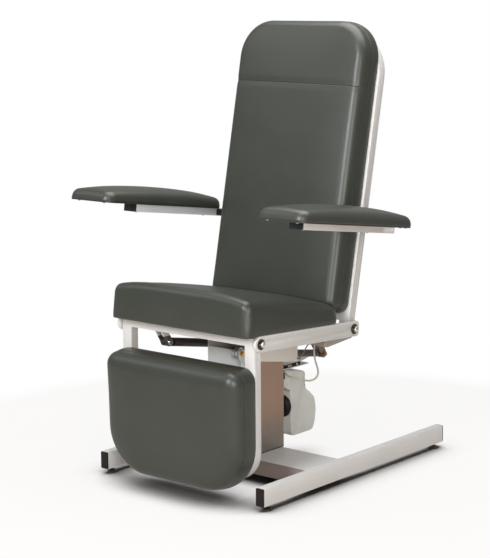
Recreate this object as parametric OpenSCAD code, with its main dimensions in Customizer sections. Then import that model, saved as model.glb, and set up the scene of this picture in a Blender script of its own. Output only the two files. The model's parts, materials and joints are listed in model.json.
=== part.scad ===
/* [Base] */
// Overall width over the two floor rails
base_w = 686; // [640:1:760]
// Length of each floor rail without its end caps
rail_l = 956; // [880:1:1050]
// How far the middle of the floor rails lies behind the column's axis
rail_back = 148; // [100:1:200]
// Width of the floor rail tube
rail_w = 30; // [26:1:40]
// Height of the floor rail tube
rail_h = 56; // [48:1:66]
// Wall of the steel tubes
tube_wall = 2; // [1.6:0.1:3]
// Underside of the floor rails above the floor
rail_lift = 18; // [16:1:26]
// Flange thickness of the black end caps
cap_t = 4; // [2:0.5:6]
// Length of the plug part of the end caps
cap_plug = 16; // [8:1:30]
// Height of the wide crossmember
cross_h = 48; // [40:1:54]
// Rounding of the crossmember's upper edges
cross_r = 14; // [6:1:18]
// How far the crossmember reaches ahead of the column
cross_lip = 12; // [4:1:30]
/* [Feet] */
// Diameter of each levelling foot
foot_d = 32; // [26:1:40]
// Height of the foot disc
foot_h = 7; // [5:0.5:9]
// Diameter of the foot's stud
stud_d = 10; // [8:0.5:12]
// Reach of the stud above the rail's lower wall
stud_reach = 22; // [18:1:30]
// Foot centre from the end of the rail tube
foot_inset = 32; // [26:1:60]
/* [Column] */
// Width of the column sleeve
col_w = 168; // [160:1:180]
// Depth of the column sleeve
col_d = 174; // [166:1:190]
// Wall of the column sleeve
col_wall = 3; // [2.5:0.1:4]
// Rounding of the sleeve's upright edges
col_r = 5; // [4:0.5:8]
// Top of the column sleeve below the front pivots
col_drop = 113; // [109:1:125]
// Width of the fixed mast inside the sleeve
mast_w = 84; // [76:1:88]
// Top of the mast below the front pivots
mast_drop = 94; // [88:1:110]
// Wall of the mast
mast_wall = 4; // [3:0.5:6]
// Thickness of the glide pads on the mast
glide_t = 10; // [8:0.5:14]
// Thickness of the dark gasket at the column's foot
gasket_t = 3; // [2:0.5:4]
/* [Seat frame] */
// Height of the front pivot above the floor
pivot_h = 501; // [492:1:515]
// Front pivot ahead of the column's axis
pivot_fwd = 275; // [268:1:282]
// Distance from the front pivot to the rear pivot
pivot_span = 468; // [460:1:480]
// Fall of the side bars towards the rear, in degrees
seat_pitch = 3.3; // [2.5:0.1:4]
// Half width over the outer faces of the side bars
bar_half = 288; // [280:1:300]
// Thickness of the side bars
bar_t = 12; // [10:0.5:14]
// Height of the side bars
bar_h = 50; // [46:1:56]
// Reach of the side bars behind the rear pivot
bar_tail = 27; // [24:1:32]
// Corner radius at the rear end of the side bars
bar_tail_r = 12; // [6:1:20]
// Diameter of the four pivot bolts
bolt_d = 12; // [10:0.5:14]
// Diameter of the washers on the pivot bolts
washer_d = 33; // [28:1:36]
// Depth of the seat cross tubes along the bars
tube_deep = 40; // [34:1:44]
// Height of the seat cross tubes
tube_high = 30; // [26:1:34]
// Front cross tube, from the front pivot to its near face
cross1_s = 190; // [186:1:200]
// Rear cross tube, from the front pivot to its near face
cross2_s = 385; // [380:1:390]
/* [Head] */
// Thickness of the lifting head's sheet
head_t = 4; // [3:0.5:5]
// Reach of the head's cheeks behind the column
head_tail = 66; // [60:1:72]
// Lower edge of the cheeks at their rear end, below the front pivots
cheek_drop2 = 155; // [145:1:157]
// Lower edge of the cheeks at their front end, below the front pivots
cheek_drop1 = 112; // [105:1:115]
// Top of the head's front plate below the front pivots
face_drop1 = 83; // [79:1:89]
// Bottom of the head's front plate below the front pivots
face_drop2 = 155; // [145:1:165]
/* [Seat] */
// Half width of the seat cushion
seat_half = 290; // [286:1:300]
// Reach of the cushion ahead of the front pivot, along the bars
seat_front = 65; // [60:1:72]
// Reach of the cushion behind the front pivot, along the bars
seat_back = 380; // [374:1:388]
// Cushion thickness at its front edge
seat_t1 = 104; // [92:1:110]
// Cushion thickness at its rear edge
seat_t2 = 58; // [54:1:62]
// Crown of the seat cushion
seat_crown = 20; // [12:1:24]
// Rounding of the seat cushion's edges
seat_r = 29; // [22:1:34]
// Thickness of the plywood boards
board_t = 12; // [9:0.5:15]
// Width of the upholstery that wraps a board's edge
wrap = 6; // [4:0.5:9]
/* [Legrest] */
// Clearance between a swinging frame and the side bars
side_gap = 1.5; // [1:0.1:2]
// Width of the frame tubes seen from the front
tube_w = 38; // [34:1:42]
// Depth of the frame tubes
tube_t = 30; // [26:1:32]
// Height of the legrest's top bar
top_bar = 26; // [22:1:30]
// Lower edge of the legrest frame above the floor
leg_low = 63.5; // [60:0.5:80]
// Outer corner radius of the legrest frame
leg_r = 100; // [90:1:120]
// Half width of the legrest pad
legpad_half = 281; // [274:1:288]
// Lower edge of the legrest pad above the floor
legpad_low = 31; // [26:1:40]
// Upper edge of the legrest pad below the front pivots
legpad_drop = 72; // [66:1:84]
// Thickness of the legrest pad at its upper end, crown left out
legpad_t = 96; // [80:1:102]
// Thickness of the legrest pad at its lower end, crown left out
legpad_t2 = 84; // [76:1:96]
// Crown of the legrest pad
legpad_crown = 8; // [4:1:12]
// Lower corner radius of the legrest pad
legpad_r1 = 165; // [140:1:180]
// Upper corner radius of the legrest pad
legpad_r2 = 45; // [35:1:60]
// Edge rounding of the legrest pad
legpad_r = 36; // [28:1:40]
/* [Back] */
// Lean of the upright back, in degrees
back_tilt = 11.6; // [10:0.1:13]
// Height of the back frame above the rear pivot, along the back
back_frame_h = 959; // [930:1:970]
// Outer corner radius of the back frame
back_r = 150; // [130:1:160]
// Half width of the back pad
backpad_half = 267; // [260:1:272]
// Lower edge of the back pad above the rear pivot, along the back
backpad_low = 42; // [34:1:66]
// Upper edge of the back pad above the rear pivot, along the back
backpad_top = 984; // [960:1:1000]
// Thickness of the back pad at its edges, with its board
backpad_t = 82; // [76:1:84]
// Crown of the back pad
backpad_crown = 9; // [5:1:12]
// Upper corner radius of the back pad
backpad_r2 = 125; // [105:1:140]
// Lower corner radius of the back pad
backpad_r1 = 34; // [24:1:50]
// Edge rounding of the back pad
backpad_r = 28; // [22:1:34]
// Height of the sewn seam above the rear pivot, along the back
seam_s = 773; // [740:1:800]
// Lower edge of the back's crossbar above the rear pivot
back_bar_s = 22; // [20:1:26]
// Height of the back's crossbar
back_bar_h = 36; // [30:1:38]
/* [Arms] */
// Arm pivot above the rear pivot, along the back
arm_s = 328.5; // [300:0.5:350]
// Inner face of the arm tube from the middle of the chair
arm_in = 319; // [315:1:330]
// Width of the arm tube
arm_w = 50; // [44:1:56]
// Height of the arm tube
arm_h = 25; // [22:1:30]
// Length of the arm tube ahead of its pivot
arm_fwd = 433; // [400:1:450]
// Length of the arm tube behind its pivot
arm_tail = 40; // [36:1:50]
// Fall of the arms towards the rear, in degrees
arm_fall = 7.9; // [4:0.1:9]
// Diameter of the arm pivot pins
arm_pin_d = 14; // [12:0.5:15]
// Width of the arm pads
armpad_w = 187; // [170:1:200]
// Length of the arm pads
armpad_l = 558; // [540:1:580]
// Inner overhang of the arm pads over the tube
armpad_over = 18; // [10:1:22]
// Gap from the arm pivot to the rear tip of the pad
armpad_gap = 23; // [20:1:30]
// Thickness of the arm pads in the middle, with their board
armpad_t = 54; // [46:1:58]
// Thickness over the arm pad's long edges, board included
armpad_edge = 36; // [32:1:42]
// Thickness of the arm pads at their tips, with their board
armpad_t2 = 31; // [28:1:36]
// Plan corner radius of the arm pads
armpad_r1 = 26; // [18:1:60]
// Edge rounding of the arm pads
armpad_r = 14; // [10:1:16]
/* [Struts] */
// Diameter of the strut rods
rod_d = 12; // [10:0.5:13]
// Diameter of the legrest strut's cylinder
leg_cyl_d = 28; // [24:1:30]
// Diameter of the back strut's cylinder
back_cyl_d = 24; // [20:1:25]
// Diameter of the strut pins
pin_d = 10; // [8:0.5:11]
// Thickness of the lever plates and lugs
lug_t = 4; // [3:0.5:5]
/* [Drive] */
// Half width of the drive housing
drive_half = 38; // [34:1:39]
// Lower edge of the drive housing below the front pivots
drive_drop = 423; // [409:1:430]
// Drive housing's flat front behind the column
drive_back = 94; // [90:1:100]
// Depth of the drive housing at its bulge
drive_deep = 135; // [125:1:145]
// Diameter of the lead
lead_d = 6; // [5:0.5:7]
// Diameter of the thin lead
thin_d = 4; // [3:0.5:4]

/* [Hidden] */
$fn = 48;
// Overrun of the cuts, running clearance of pins and clearance of sliding faces
over = 1;
run = 0.05;
slide = 0.3;
// Vinyl, paint and metal colours
vinyl = [0.31, 0.33, 0.3];
paint = [0.8, 0.78, 0.76];
steel = [0.62, 0.58, 0.55];
black = [0.13, 0.12, 0.12];
ply = [0.6, 0.47, 0.33];
plastic = [0.78, 0.79, 0.77];

// Heights and places that follow from the sizes above
rail_top = rail_lift + rail_h;
col_top = pivot_h - col_drop;
mast_h = pivot_h - mast_drop - rail_top;
head_low = pivot_h - cheek_drop2;
head_high = pivot_h - cheek_drop1;
face_top = pivot_h - face_drop1;
face_low = pivot_h - face_drop2;
legpad_top = pivot_h - legpad_drop;
drive_low = pivot_h - drive_drop;
cross_in = base_w/2 - rail_w;
cross_d = col_d + cross_lip;
col_front = -col_d/2;
col_rear = col_d/2;
sleeve_low = rail_top + gasket_t + slide;
mast_d = col_d - 2*col_wall - 2*glide_t - 2*slide;
mast_top = rail_top + mast_h;
rail_front = rail_back - rail_l/2;
rail_rear = rail_back + rail_l/2;
bar_in = bar_half - bar_t;
frame_out = bar_in - side_gap;
frame_in = frame_out - tube_w;
rear_y = -pivot_fwd + pivot_span*cos(seat_pitch);
rear_z = pivot_h - pivot_span*sin(seat_pitch);
leg_face = -pivot_fwd - tube_t/2;
leg_pad_front = leg_face - legpad_t - legpad_crown;
// Fore and aft place of the floor frame's middle, so the part stands over its own middle
front_end = min(leg_pad_front, rail_front - cap_t);
rear_end = rail_rear + cap_t;
shift_y = -(front_end + rear_end)/2;

// Legrest strut: lever pin and slotted bracket, from the front pivot
leg_pin_back = 24;
leg_pin_down = 48;
leg_strut_x = -120;
leg_end_y = 59;
leg_end_drop = 105;
leg_end_z = pivot_h - leg_end_drop;
leg_pin_y = -pivot_fwd + leg_pin_back;
leg_pin_z = pivot_h - leg_pin_down;
leg_run = leg_end_y - leg_pin_y;
leg_drop = leg_pin_z - leg_end_z;
leg_len = sqrt(leg_run*leg_run + leg_drop*leg_drop);
leg_ang = atan2(leg_drop, leg_run);
// Room that the open pivot needs across and along
slot_w = 19;
slot_h = 33;
strut_eye_w = 19.4;
strut_eye_r = 13.5;
cyl_start = 27;
leg_cyl_end = 245;
leg_rod_in = 130;

// Back strut: lever pin from the rear pivot and the notch pin on the head
back_pin_back = 115;
back_pin_down = 129;
back_strut_x = 64;
notch_fwd = 29;
notch_drop = 83;
notch_z = pivot_h - notch_drop;
back_pin_y = rear_y + back_pin_back;
back_pin_z = rear_z - back_pin_down;
notch_y = col_front - notch_fwd;
back_run = back_pin_y - notch_y;
back_rise = notch_z - back_pin_z;
back_len = sqrt(back_run*back_run + back_rise*back_rise);
back_ang = atan2(back_rise, back_run);
back_cyl_end = 250;
back_rod_in = 147;
notch_eye_r = 19.5;
notch_win = 12;

// Arc of points about a centre in the drawing plane
function arc(c, r, a0, a1, n) = [for (i = [0:n]) let(a = a0 + (a1 - a0)*i/n) [c[0] + r*cos(a), c[1] + r*sin(a)]];
// Half width of a rounded outline at a place along it
function edge_in(d, r) = d >= r ? 0 : r - sqrt(max(0, r*r - (r - d)*(r - d)));
// Outline with two lower and two upper round corners
module plate2d(half, low, top, r1, r2) {
    polygon(concat(
        arc([-half + r1, low + r1], r1, 180, 270, 14),
        arc([half - r1, low + r1], r1, 270, 360, 14),
        arc([half - r2, top - r2], r2, 0, 90, 14),
        arc([-half + r2, top - r2], r2, 90, 180, 14)));
}
// Rectangle with round corners about the middle
module rect2d(w, h, r) { plate2d(w/2, -h/2, h/2, r, r); }
// Rectangular tube along the second axis
module box_tube(x, z, l, wall) {
    difference() {
        translate([-x/2, 0, -z/2]) cube([x, l, z]);
        translate([-x/2 + wall, -over, -z/2 + wall]) cube([x - 2*wall, l + 2*over, z - 2*wall]);
    }
}
// Cylinder along the first axis, from x0 to x1
module rod_x(x0, x1, r) { translate([x0, 0, 0]) rotate([0, 90, 0]) cylinder(h = x1 - x0, r = r); }
// Plate in the side plane, from x0 to x1, drawn as places back and up
module side_plate(x0, x1) { translate([x0, 0, 0]) rotate([90, 0, 90]) linear_extrude(x1 - x0) children(); }
// A shape as drawn, or mirrored to the other side or the other end
module sided(side) { if (side > 0) children(); else mirror([1, 0, 0]) children(); }
module ended(way) { if (way > 0) children(); else mirror([0, 1, 0]) children(); }
// Places of the sloped seat, leaning back, arms and struts
module chair() { translate([0, shift_y, 0]) children(); }
module seat_place() { chair() translate([0, -pivot_fwd, pivot_h]) rotate([-seat_pitch, 0, 0]) children(); }
module leg_place() { chair() translate([0, -pivot_fwd, pivot_h]) children(); }
module back_place() { chair() translate([0, rear_y, rear_z]) rotate([-back_tilt, 0, 0]) children(); }
module arm_place() {
    back_place() translate([0, 0, arm_s]) rotate([back_tilt - arm_fall, 0, 0]) children();
}
module leg_strut_place() { chair() translate([leg_strut_x, leg_pin_y, leg_pin_z]) rotate([-leg_ang, 0, 0]) children(); }
module back_strut_place() { chair() translate([back_strut_x, back_pin_y, back_pin_z]) rotate([-back_ang, 0, 0]) children(); }

// One cross section of a cushion at a place along it: half width, thickness, crown, roundings
function section(a, low, t, crown, r, rb, dip, m) = let(
    af = a - r, ab = a - rb, rbb = min(rb, (t - low)/3), rf = min(r, (t - low)/2))
    concat(
    [[-ab, low], [ab, low]],
    [for (i = [1:3]) let(q = -90 + 30*i) [ab + rb*cos(q), low + rbb + rbb*sin(q)]],
    [for (i = [0:4]) let(q = 18*i) [af + r*cos(q), t - rf + rf*sin(q)]],
    [for (i = [1:m - 1]) let(u = 1 - 2*i/m) [af*u, t + crown*(1 - pow(abs(u), 2.4)) - dip*(1 - pow(abs(u), 8)*0.4)]],
    [for (i = [0:4]) let(q = 90 + 18*i) [-af + r*cos(q), t - rf + rf*sin(q)]],
    [for (i = [0:2]) let(q = 180 + 30*i) [-ab + rb*cos(q), low + rbb + rbb*sin(q)]]);
// Closed skin through equal rings of points, with flat triangulated ends
module skin(rings) {
    n = len(rings[0]);
    k = len(rings);
    pts = [for (g = rings) for (p = g) p];
    sides = [for (j = [0:k - 2]) for (i = [0:n - 1]) let(a = j*n + i, b = j*n + (i + 1)%n)
        each [[a, b, b + n], [a, b + n, a + n]]];
    low = [for (i = [1:n - 2]) [0, i + 1, i]];
    top = [for (i = [1:n - 2]) [(k - 1)*n, (k - 1)*n + i, (k - 1)*n + i + 1]];
    polyhedron(points = pts, faces = concat(low, sides, top), convexity = 6);
}
// Places along a cushion: dense in its round ends, even between, with any seam's places
function stations(l0, l1, r1, r2, extra, n) = concat(
    [for (i = [0:5]) l0 + r1*(1 - cos(18*i))],
    [for (i = [1:n - 1]) let(v = l0 + r1 + (l1 - r2 - l0 - r1)*i/n)
        if (len([for (e = extra) if (abs(e - v) < (l1 - l0)/60) e]) == 0) v],
    [for (i = [0:5]) l1 - r2*(1 - cos(90 - 18*i))]);
function sorted(v) = len(v) < 2 ? v : let(p = v[floor(len(v)/2)])
    concat(sorted([for (x = v) if (x < p) x]), [p], sorted([for (x = v) if (x > p) x]));
// Cushion: plan outline with round corners, edge roundings, crown and seam
module cushion(half, l0, l1, t1, t2, crown, r1, r2, r, seam, depth, n, m) {
    rb = r/3;
    places = sorted(concat(stations(l0, l1, r1, r2, seam == undef ? [] : [seam], n),
        seam == undef ? [] : [seam - 3*depth, seam - depth, seam, seam + depth, seam + 3*depth]));
    skin([for (s = places) let(
        f = (s - l0)/(l1 - l0),
        a = half - edge_in(s - l0, r1) - edge_in(l1 - s, r2),
        e = max(edge_in(s - l0, r), edge_in(l1 - s, r)),
        eb = max(edge_in(s - l0, rb), edge_in(l1 - s, rb)),
        dip = seam == undef ? 0 : depth*exp(-pow((s - seam)/depth, 2)),
        t = t1 + (t2 - t1)*f - e)
        [for (p = section(a, eb, t, crown*sin(180*min(1, max(0, 0.06 + 0.88*f)))*0.6
            + crown*0.4*(1 - e/r), min(r, a/2), rb, dip, m)) [p[0], s, p[1]]]]);
}

// Floor rail with weld bosses for the feet, on the side given by its sign
module rail(side) {
    color(paint) chair() translate([side*(base_w - rail_w)/2, 0, 0]) difference() {
        union() {
            translate([0, rail_front, rail_lift + rail_h/2]) box_tube(rail_w, rail_h, rail_l, tube_wall);
            for (y = [rail_front + foot_inset, rail_rear - foot_inset])
                translate([0, y, rail_lift]) cylinder(h = stud_reach - stud_d/2, d = 2*stud_d);
        }
        for (y = [rail_front + foot_inset, rail_rear - foot_inset])
            translate([0, y, rail_lift - over]) cylinder(h = stud_reach, r = stud_d/2 + run);
    }
}
module base_rail_left() { rail(1); }
module base_rail_right() { rail(-1); }
// Moulded end cap of a floor rail: flange and hollow plug
module rail_cap(side, y, way) {
    color(black) chair() translate([side*(base_w - rail_w)/2, y, rail_lift + rail_h/2]) ended(way) {
        rotate([-90, 0, 0]) linear_extrude(cap_t) rect2d(rail_w, rail_h, cap_t);
        translate([0, -cap_plug, 0]) box_tube(rail_w - 2*tube_wall, rail_h - 2*tube_wall, cap_plug, tube_wall);
    }
}
module cap_front_left() { rail_cap(1, rail_front, -1); }
module cap_front_right() { rail_cap(-1, rail_front, -1); }
module cap_rear_left() { rail_cap(1, rail_rear, 1); }
module cap_rear_right() { rail_cap(-1, rail_rear, 1); }
// Wide folded crossmember between the rails
module crossmember() {
    color(paint) chair() translate([0, (-cross_lip)/2, rail_top - cross_h]) difference() {
        side_plate(-cross_in, cross_in) plate2d(cross_d/2, 0, cross_h, tube_wall, cross_r);
        side_plate(-cross_in - over, cross_in + over)
            plate2d(cross_d/2 - tube_wall, tube_wall, cross_h - tube_wall, tube_wall, cross_r - tube_wall);
    }
}
// Levelling foot: disc, cone and stud in one turned piece
module foot(side, y) {
    color(steel) chair() translate([side*(base_w - rail_w)/2, y, 0]) rotate_extrude() polygon([
        [0, 0], [foot_d/2 - over, 0], [foot_d/2, over], [foot_d/2, foot_h - over], [foot_d/2 - over, foot_h],
        [stud_d, foot_h], [stud_d*0.7, foot_h + stud_d*0.3], [stud_d/2, foot_h + stud_d*0.3],
        [stud_d/2, rail_lift + stud_reach - over], [stud_d/2 - over, rail_lift + stud_reach], [0, rail_lift + stud_reach]]);
}
module foot_front_left() { foot(1, rail_front + foot_inset); }
module foot_front_right() { foot(-1, rail_front + foot_inset); }
module foot_rear_left() { foot(1, rail_rear - foot_inset); }
module foot_rear_right() { foot(-1, rail_rear - foot_inset); }

// Dark gasket under the sleeve, round the mast's foot
module column_gasket() {
    color(black) chair() translate([0, 0, rail_top]) linear_extrude(gasket_t) difference() {
        rect2d(col_w, col_d, col_r);
        square([mast_w + 2*mast_wall + 2*slide, mast_d + 2*slide], center = true);
    }
}
// Fixed mast with its foot flange
module mast() {
    color(steel) chair() translate([0, 0, rail_top]) {
        linear_extrude(mast_h) difference() {
            square([mast_w, mast_d], center = true);
            square([mast_w - 2*mast_wall, mast_d - 2*mast_wall], center = true);
        }
        linear_extrude(2*mast_wall) difference() {
            square([mast_w + 2*mast_wall, mast_d], center = true);
            square([mast_w - 2*mast_wall, mast_d - 2*mast_wall], center = true);
        }
    }
}
// Glide pads at the front and rear of the mast's top
module mast_glides() {
    color(black) chair() for (way = [-1, 1])
        translate([0, way*(mast_d + glide_t)/2, mast_top - 2*tube_deep])
            translate([-mast_w/2 + mast_wall, -glide_t/2, 0]) cube([mast_w - 2*mast_wall, glide_t, tube_deep]);
}
// Sleeve of brushed metal with a rear notch for the back strut
strut_room = back_cyl_d/2 + strut_eye_r/3;
notch_cut = 26;
notch_low = back_pin_z - notch_cut;
module column_sleeve() {
    color(steel) chair() difference() {
        translate([0, 0, sleeve_low]) linear_extrude(col_top - sleeve_low) difference() {
            rect2d(col_w, col_d, col_r);
            rect2d(col_w - 2*col_wall, col_d - 2*col_wall, col_r - col_wall);
        }
        translate([back_strut_x - strut_room, col_rear - col_wall - over, notch_low])
            cube([2*strut_room, col_wall + 2*over, col_top]);
    }
}
// Glide blocks inside the sleeve's foot, beside the mast
module sleeve_glides() {
    thick = col_w/2 - col_wall - mast_w/2 - slide;
    color(plastic) chair() for (way = [-1, 1])
        translate([way*(mast_w/2 + slide + thick/2) - thick/2, -tube_deep, sleeve_low + tube_deep])
            cube([thick, 2*tube_deep, tube_deep]);
}
// Spindle tube that hangs from the head inside the mast
bridge_z = notch_z + tube_wall*6;
module lift_spindle() {
    color(steel) chair() translate([0, 0, bridge_z - mast_h/2]) {
        cylinder(h = mast_h/2, d = tube_high);
        translate([0, 0, -tube_deep]) cylinder(h = tube_deep, d = tube_deep);
    }
}
// Lifting head: notched front plate, two cheeks, bridge over the mast and lugs of the notch pin
head_x = col_w/2;
head_y1 = col_rear + head_tail;
function bar_under(y) = pivot_h - (y + pivot_fwd)*tan(seat_pitch) - bar_h/2/cos(seat_pitch);
corner_x = back_strut_x - strut_eye_w/2 - 3*lug_t;
corner_z = notch_z - 2*strut_eye_r;
module lifting_head() {
    color([0.86, 0.85, 0.82]) chair() {
        difference() {
            translate([0, col_front, 0]) rotate([90, 0, 0]) linear_extrude(head_t) polygon([
                [-head_x - head_t, face_low], [head_x + head_t, face_low], [head_x + head_t, corner_z - strut_eye_r],
                [head_x - strut_eye_r/2, corner_z], [corner_x, corner_z], [corner_x, face_top], [-head_x - head_t, face_top]]);
        }
        for (x = [-head_x - head_t, head_x]) side_plate(x, x + head_t) polygon([
            [col_front - head_t, head_high], [head_y1, head_low], [head_y1, bar_under(head_y1)],
            [col_front - head_t, bar_under(col_front - head_t)]]);
        translate([-head_x, -tube_deep, bridge_z]) cube([2*head_x, 2*tube_deep, head_t]);
        for (x = [back_strut_x - strut_eye_w/2 - slide - lug_t, back_strut_x + strut_eye_w/2 + slide])
            difference() {
                union() {
                    side_plate(x, x + lug_t) polygon([[col_front - head_t, face_low + 2*lug_t],
                        [col_front - head_t, corner_z], [notch_y + strut_eye_r, notch_z],
                        [notch_y - strut_eye_r, notch_z], [notch_y - strut_eye_r, notch_z - strut_eye_r]]);
                    translate([0, notch_y, notch_z]) rod_x(x, x + lug_t, strut_eye_r);
                }
                translate([0, notch_y, notch_z]) rod_x(x - over, x + lug_t + over, pin_d/2);
            }
    }
}
// Pin of the back strut's open front eye, with head and domed end
module notch_pin() {
    x0 = -strut_eye_w/2 - slide - lug_t;
    color("silver") chair() translate([back_strut_x, notch_y, notch_z]) {
        rod_x(x0, -x0, pin_d/2);
        rod_x(x0 - lug_t, x0, pin_d);
        rod_x(-x0, -x0 + lug_t/2, pin_d);
        rod_x(-x0 + lug_t/2, -x0 + 2*lug_t, pin_d*0.6);
    }
}
// Bracket on the head's far cheek, its two lugs slotted for the legrest strut's rear pin
web_y = leg_end_y + strut_eye_r + 3*lug_t;
bracket_half = slot_h/2 + 2*lug_t;
module strut_bracket() {
    color(black) chair() translate([0, 0, leg_end_z]) {
        for (x = [leg_strut_x - strut_eye_w/2 - slide - lug_t, leg_strut_x + strut_eye_w/2 + slide])
            difference() {
                side_plate(x, x + lug_t) plate_yz(leg_end_y - slot_w/2 - 2*lug_t, web_y, -bracket_half, bracket_half, lug_t);
                translate([x - over, leg_end_y - slot_w/2, -slot_h/2]) cube([lug_t + 2*over, slot_w, slot_h]);
            }
        translate([leg_strut_x - strut_eye_w/2 - slide - lug_t, web_y - lug_t, -bracket_half])
            cube([-head_x - head_t - leg_strut_x + strut_eye_w/2 + slide + lug_t, lug_t, 2*bracket_half]);
    }
}
module plate_yz(y0, y1, z0, z1, r) {
    polygon(concat(arc([y0 + r, z0 + r], r, 180, 270, 6), arc([y1 - r, z0 + r], r, 270, 360, 6),
        arc([y1 - r, z1 - r], r, 0, 90, 6), arc([y0 + r, z1 - r], r, 90, 180, 6)));
}

// Side bar with its round nose, round tail and two bores
module bar(side) {
    color(paint) seat_place() difference() {
        side_plate(side > 0 ? bar_in : -bar_half, side > 0 ? bar_half : -bar_in) polygon(concat(
            arc([0, 0], bar_h/2, 90, 270, 24),
            arc([pivot_span + bar_tail - bar_tail_r, bar_tail_r - bar_h/2], bar_tail_r, 270, 360, 8),
            arc([pivot_span + bar_tail - bar_tail_r, bar_h/2 - bar_tail_r], bar_tail_r, 0, 90, 8)));
        for (s = [0, pivot_span]) translate([0, s, 0]) rod_x(-bar_half - over, bar_half + over, bolt_d/2);
    }
}
module seat_bar_left() { bar(1); }
module seat_bar_right() { bar(-1); }
// Cross tube between the side bars
module cross_tube(s) {
    color(paint) seat_place() translate([-bar_in, s + tube_deep/2, (tube_high - bar_h)/2]) rotate([0, 0, -90])
        box_tube(tube_deep, tube_high, 2*bar_in, tube_wall);
}
module cross_tube_front() { cross_tube(cross1_s); }
module cross_tube_rear() { cross_tube(cross2_s); }
// Pivot bolt: inner head, shank, washer, hexagon and dome of the acorn nut
nut_h = bolt_d*0.6;
module pivot_bolt(side, s) {
    head = s > 0;
    color("silver") seat_place() translate([0, s, 0]) sided(side) {
        rod_x(head ? frame_in - slide : frame_in + tube_wall, bar_half, bolt_d/2);
        if (head) {
            rod_x(frame_in - slide - tube_wall, frame_in - slide, bolt_d);
            rod_x(frame_in - slide - tube_wall - nut_h, frame_in - slide - tube_wall, bolt_d*0.8);
        }
        rod_x(bar_half, bar_half + tube_wall, washer_d/2);
        translate([bar_half + tube_wall, 0, 0]) rotate([0, 90, 0]) {
            cylinder(h = nut_h, d = bolt_d*1.85, $fn = 6);
            translate([0, 0, nut_h]) rotate_extrude() polygon(concat([[0, 0]],
                [for (i = [0:8]) [bolt_d*0.75*cos(11.25*i), bolt_d*0.5*sin(11.25*i)]]));
        }
    }
}
module bolt_front_left() { pivot_bolt(1, 0); }
module bolt_front_right() { pivot_bolt(-1, 0); }
module bolt_rear_left() { pivot_bolt(1, pivot_span); }
module bolt_rear_right() { pivot_bolt(-1, pivot_span); }

// Seat board on the side bars, and the wedge cushion whose cover wraps its edge
module seat_board() {
    color(ply) seat_place() translate([0, 0, bar_h/2]) linear_extrude(board_t)
        plate2d(seat_half - wrap, -seat_front + wrap, seat_back - wrap, seat_r - wrap, seat_r - wrap);
}
module seat_cushion() {
    color(vinyl) seat_place() translate([0, 0, bar_h/2]) difference() {
        cushion(seat_half, -seat_front, seat_back, seat_t1, seat_t2, seat_crown, seat_r, seat_r, seat_r, undef, 0, 12, 12);
        translate([0, 0, -over]) linear_extrude(board_t + over)
            plate2d(seat_half - wrap, -seat_front + wrap, seat_back - wrap, seat_r - wrap, seat_r - wrap);
    }
}

// Drive housing behind the column: moulded profile with a bulged rear and a neck
drive_y = col_rear + drive_back;
drive_tall = 212;
drive_top = drive_low + drive_tall;
drive_shares = [[0, 0], [0.8, 0.004], [0.88, 0.03], [0.96, 0.14], [1, 0.3], [0.99, 0.42], [0.93, 0.54],
    [0.76, 0.64], [0.62, 0.7], [0.57, 0.76], [0.57, 1], [-0.24, 1.1], [-0.24, 0.82], [-0.06, 0.76], [0, 0.72]];
module drive_outline() {
    polygon([for (p = drive_shares) [drive_y + p[0]*drive_deep, drive_low + p[1]*drive_tall]]);
}
module drive_housing() {
    color(plastic) chair() difference() {
        side_plate(-drive_half, drive_half) drive_outline();
        for (x = [-drive_half - over, drive_half - tube_wall])
            translate([x, drive_y + drive_deep/2, drive_low + drive_deep*0.42])
                rotate([0, 90, 0]) difference() {
                    cylinder(h = tube_wall + over, r = drive_deep*0.34);
                    translate([0, 0, -over]) cylinder(h = tube_wall + 3*over, r = drive_deep*0.3);
                }
    }
}
// Black cap of the motor on the housing's front
module motor_cap() {
    color(black) chair() translate([0, drive_y, drive_low + drive_deep*0.75]) rotate([90, 0, 0]) rotate_extrude()
        polygon([[0, 0], [drive_half, 0], [drive_half, cap_plug/2], [drive_half - cap_plug/2, cap_plug], [0, cap_plug]]);
}
// Bracket from the sleeve's rear wall to the top of the housing
plate_z = drive_low + drive_tall*1.1;
module drive_bracket() {
    color(paint) chair() {
        translate([-drive_half, col_rear, plate_z - tube_deep]) cube([2*drive_half, head_t, tube_deep + head_t]);
        translate([-drive_half, col_rear, plate_z]) cube([2*drive_half, drive_y - col_rear + drive_deep*0.7, head_t]);
        for (x = [-drive_half, drive_half - head_t]) side_plate(x, x + head_t) polygon([
            [col_rear + head_t, plate_z], [col_rear + head_t, plate_z - tube_deep],
            [col_rear + 2*head_t, plate_z - tube_deep], [col_rear + tube_deep/2, plate_z]]);
    }
}
// Black connector block beside the housing's neck
block_y = drive_y - drive_deep*0.24;
module connector_block() {
    color(black) chair() difference() {
        translate([-drive_half/2, block_y - tube_deep, plate_z - tube_high]) cube([drive_half*1.5, tube_deep, tube_high]);
        for (i = [0:2]) translate([drive_half - tube_wall, block_y - tube_deep + (i + 0.5)*tube_deep/3, plate_z - tube_high/2])
            translate([0, -tube_wall, -tube_wall*2]) cube([tube_wall + over, tube_wall*2, tube_wall*4]);
    }
}
// Control box under the rear cross tube, with its black end
box_x0 = 116;
box_w = 112;
box_l = 138;
box_s = cross2_s + tube_deep/4;
box_drop = 37;
module control_box() {
    color([0.62, 0.57, 0.54]) seat_place() translate([0, box_s, -bar_h/2]) side_plate(box_x0, box_x0 + box_w) polygon(concat(
        [[0, 0]], arc([box_drop/2, -box_drop/2], box_drop/2, 180, 270, 8), [[box_l, -box_drop*0.55], [box_l, 0]]));
}
module control_box_end() {
    color(black) seat_place() translate([0, box_s + box_l, -bar_h/2]) side_plate(box_x0, box_x0 + box_w) polygon([
        [0, 0], [0, -box_drop*0.55], [box_drop/5, -box_drop*0.45], [box_drop/3, -box_drop*0.2], [box_drop/3, 0]]);
}
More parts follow.
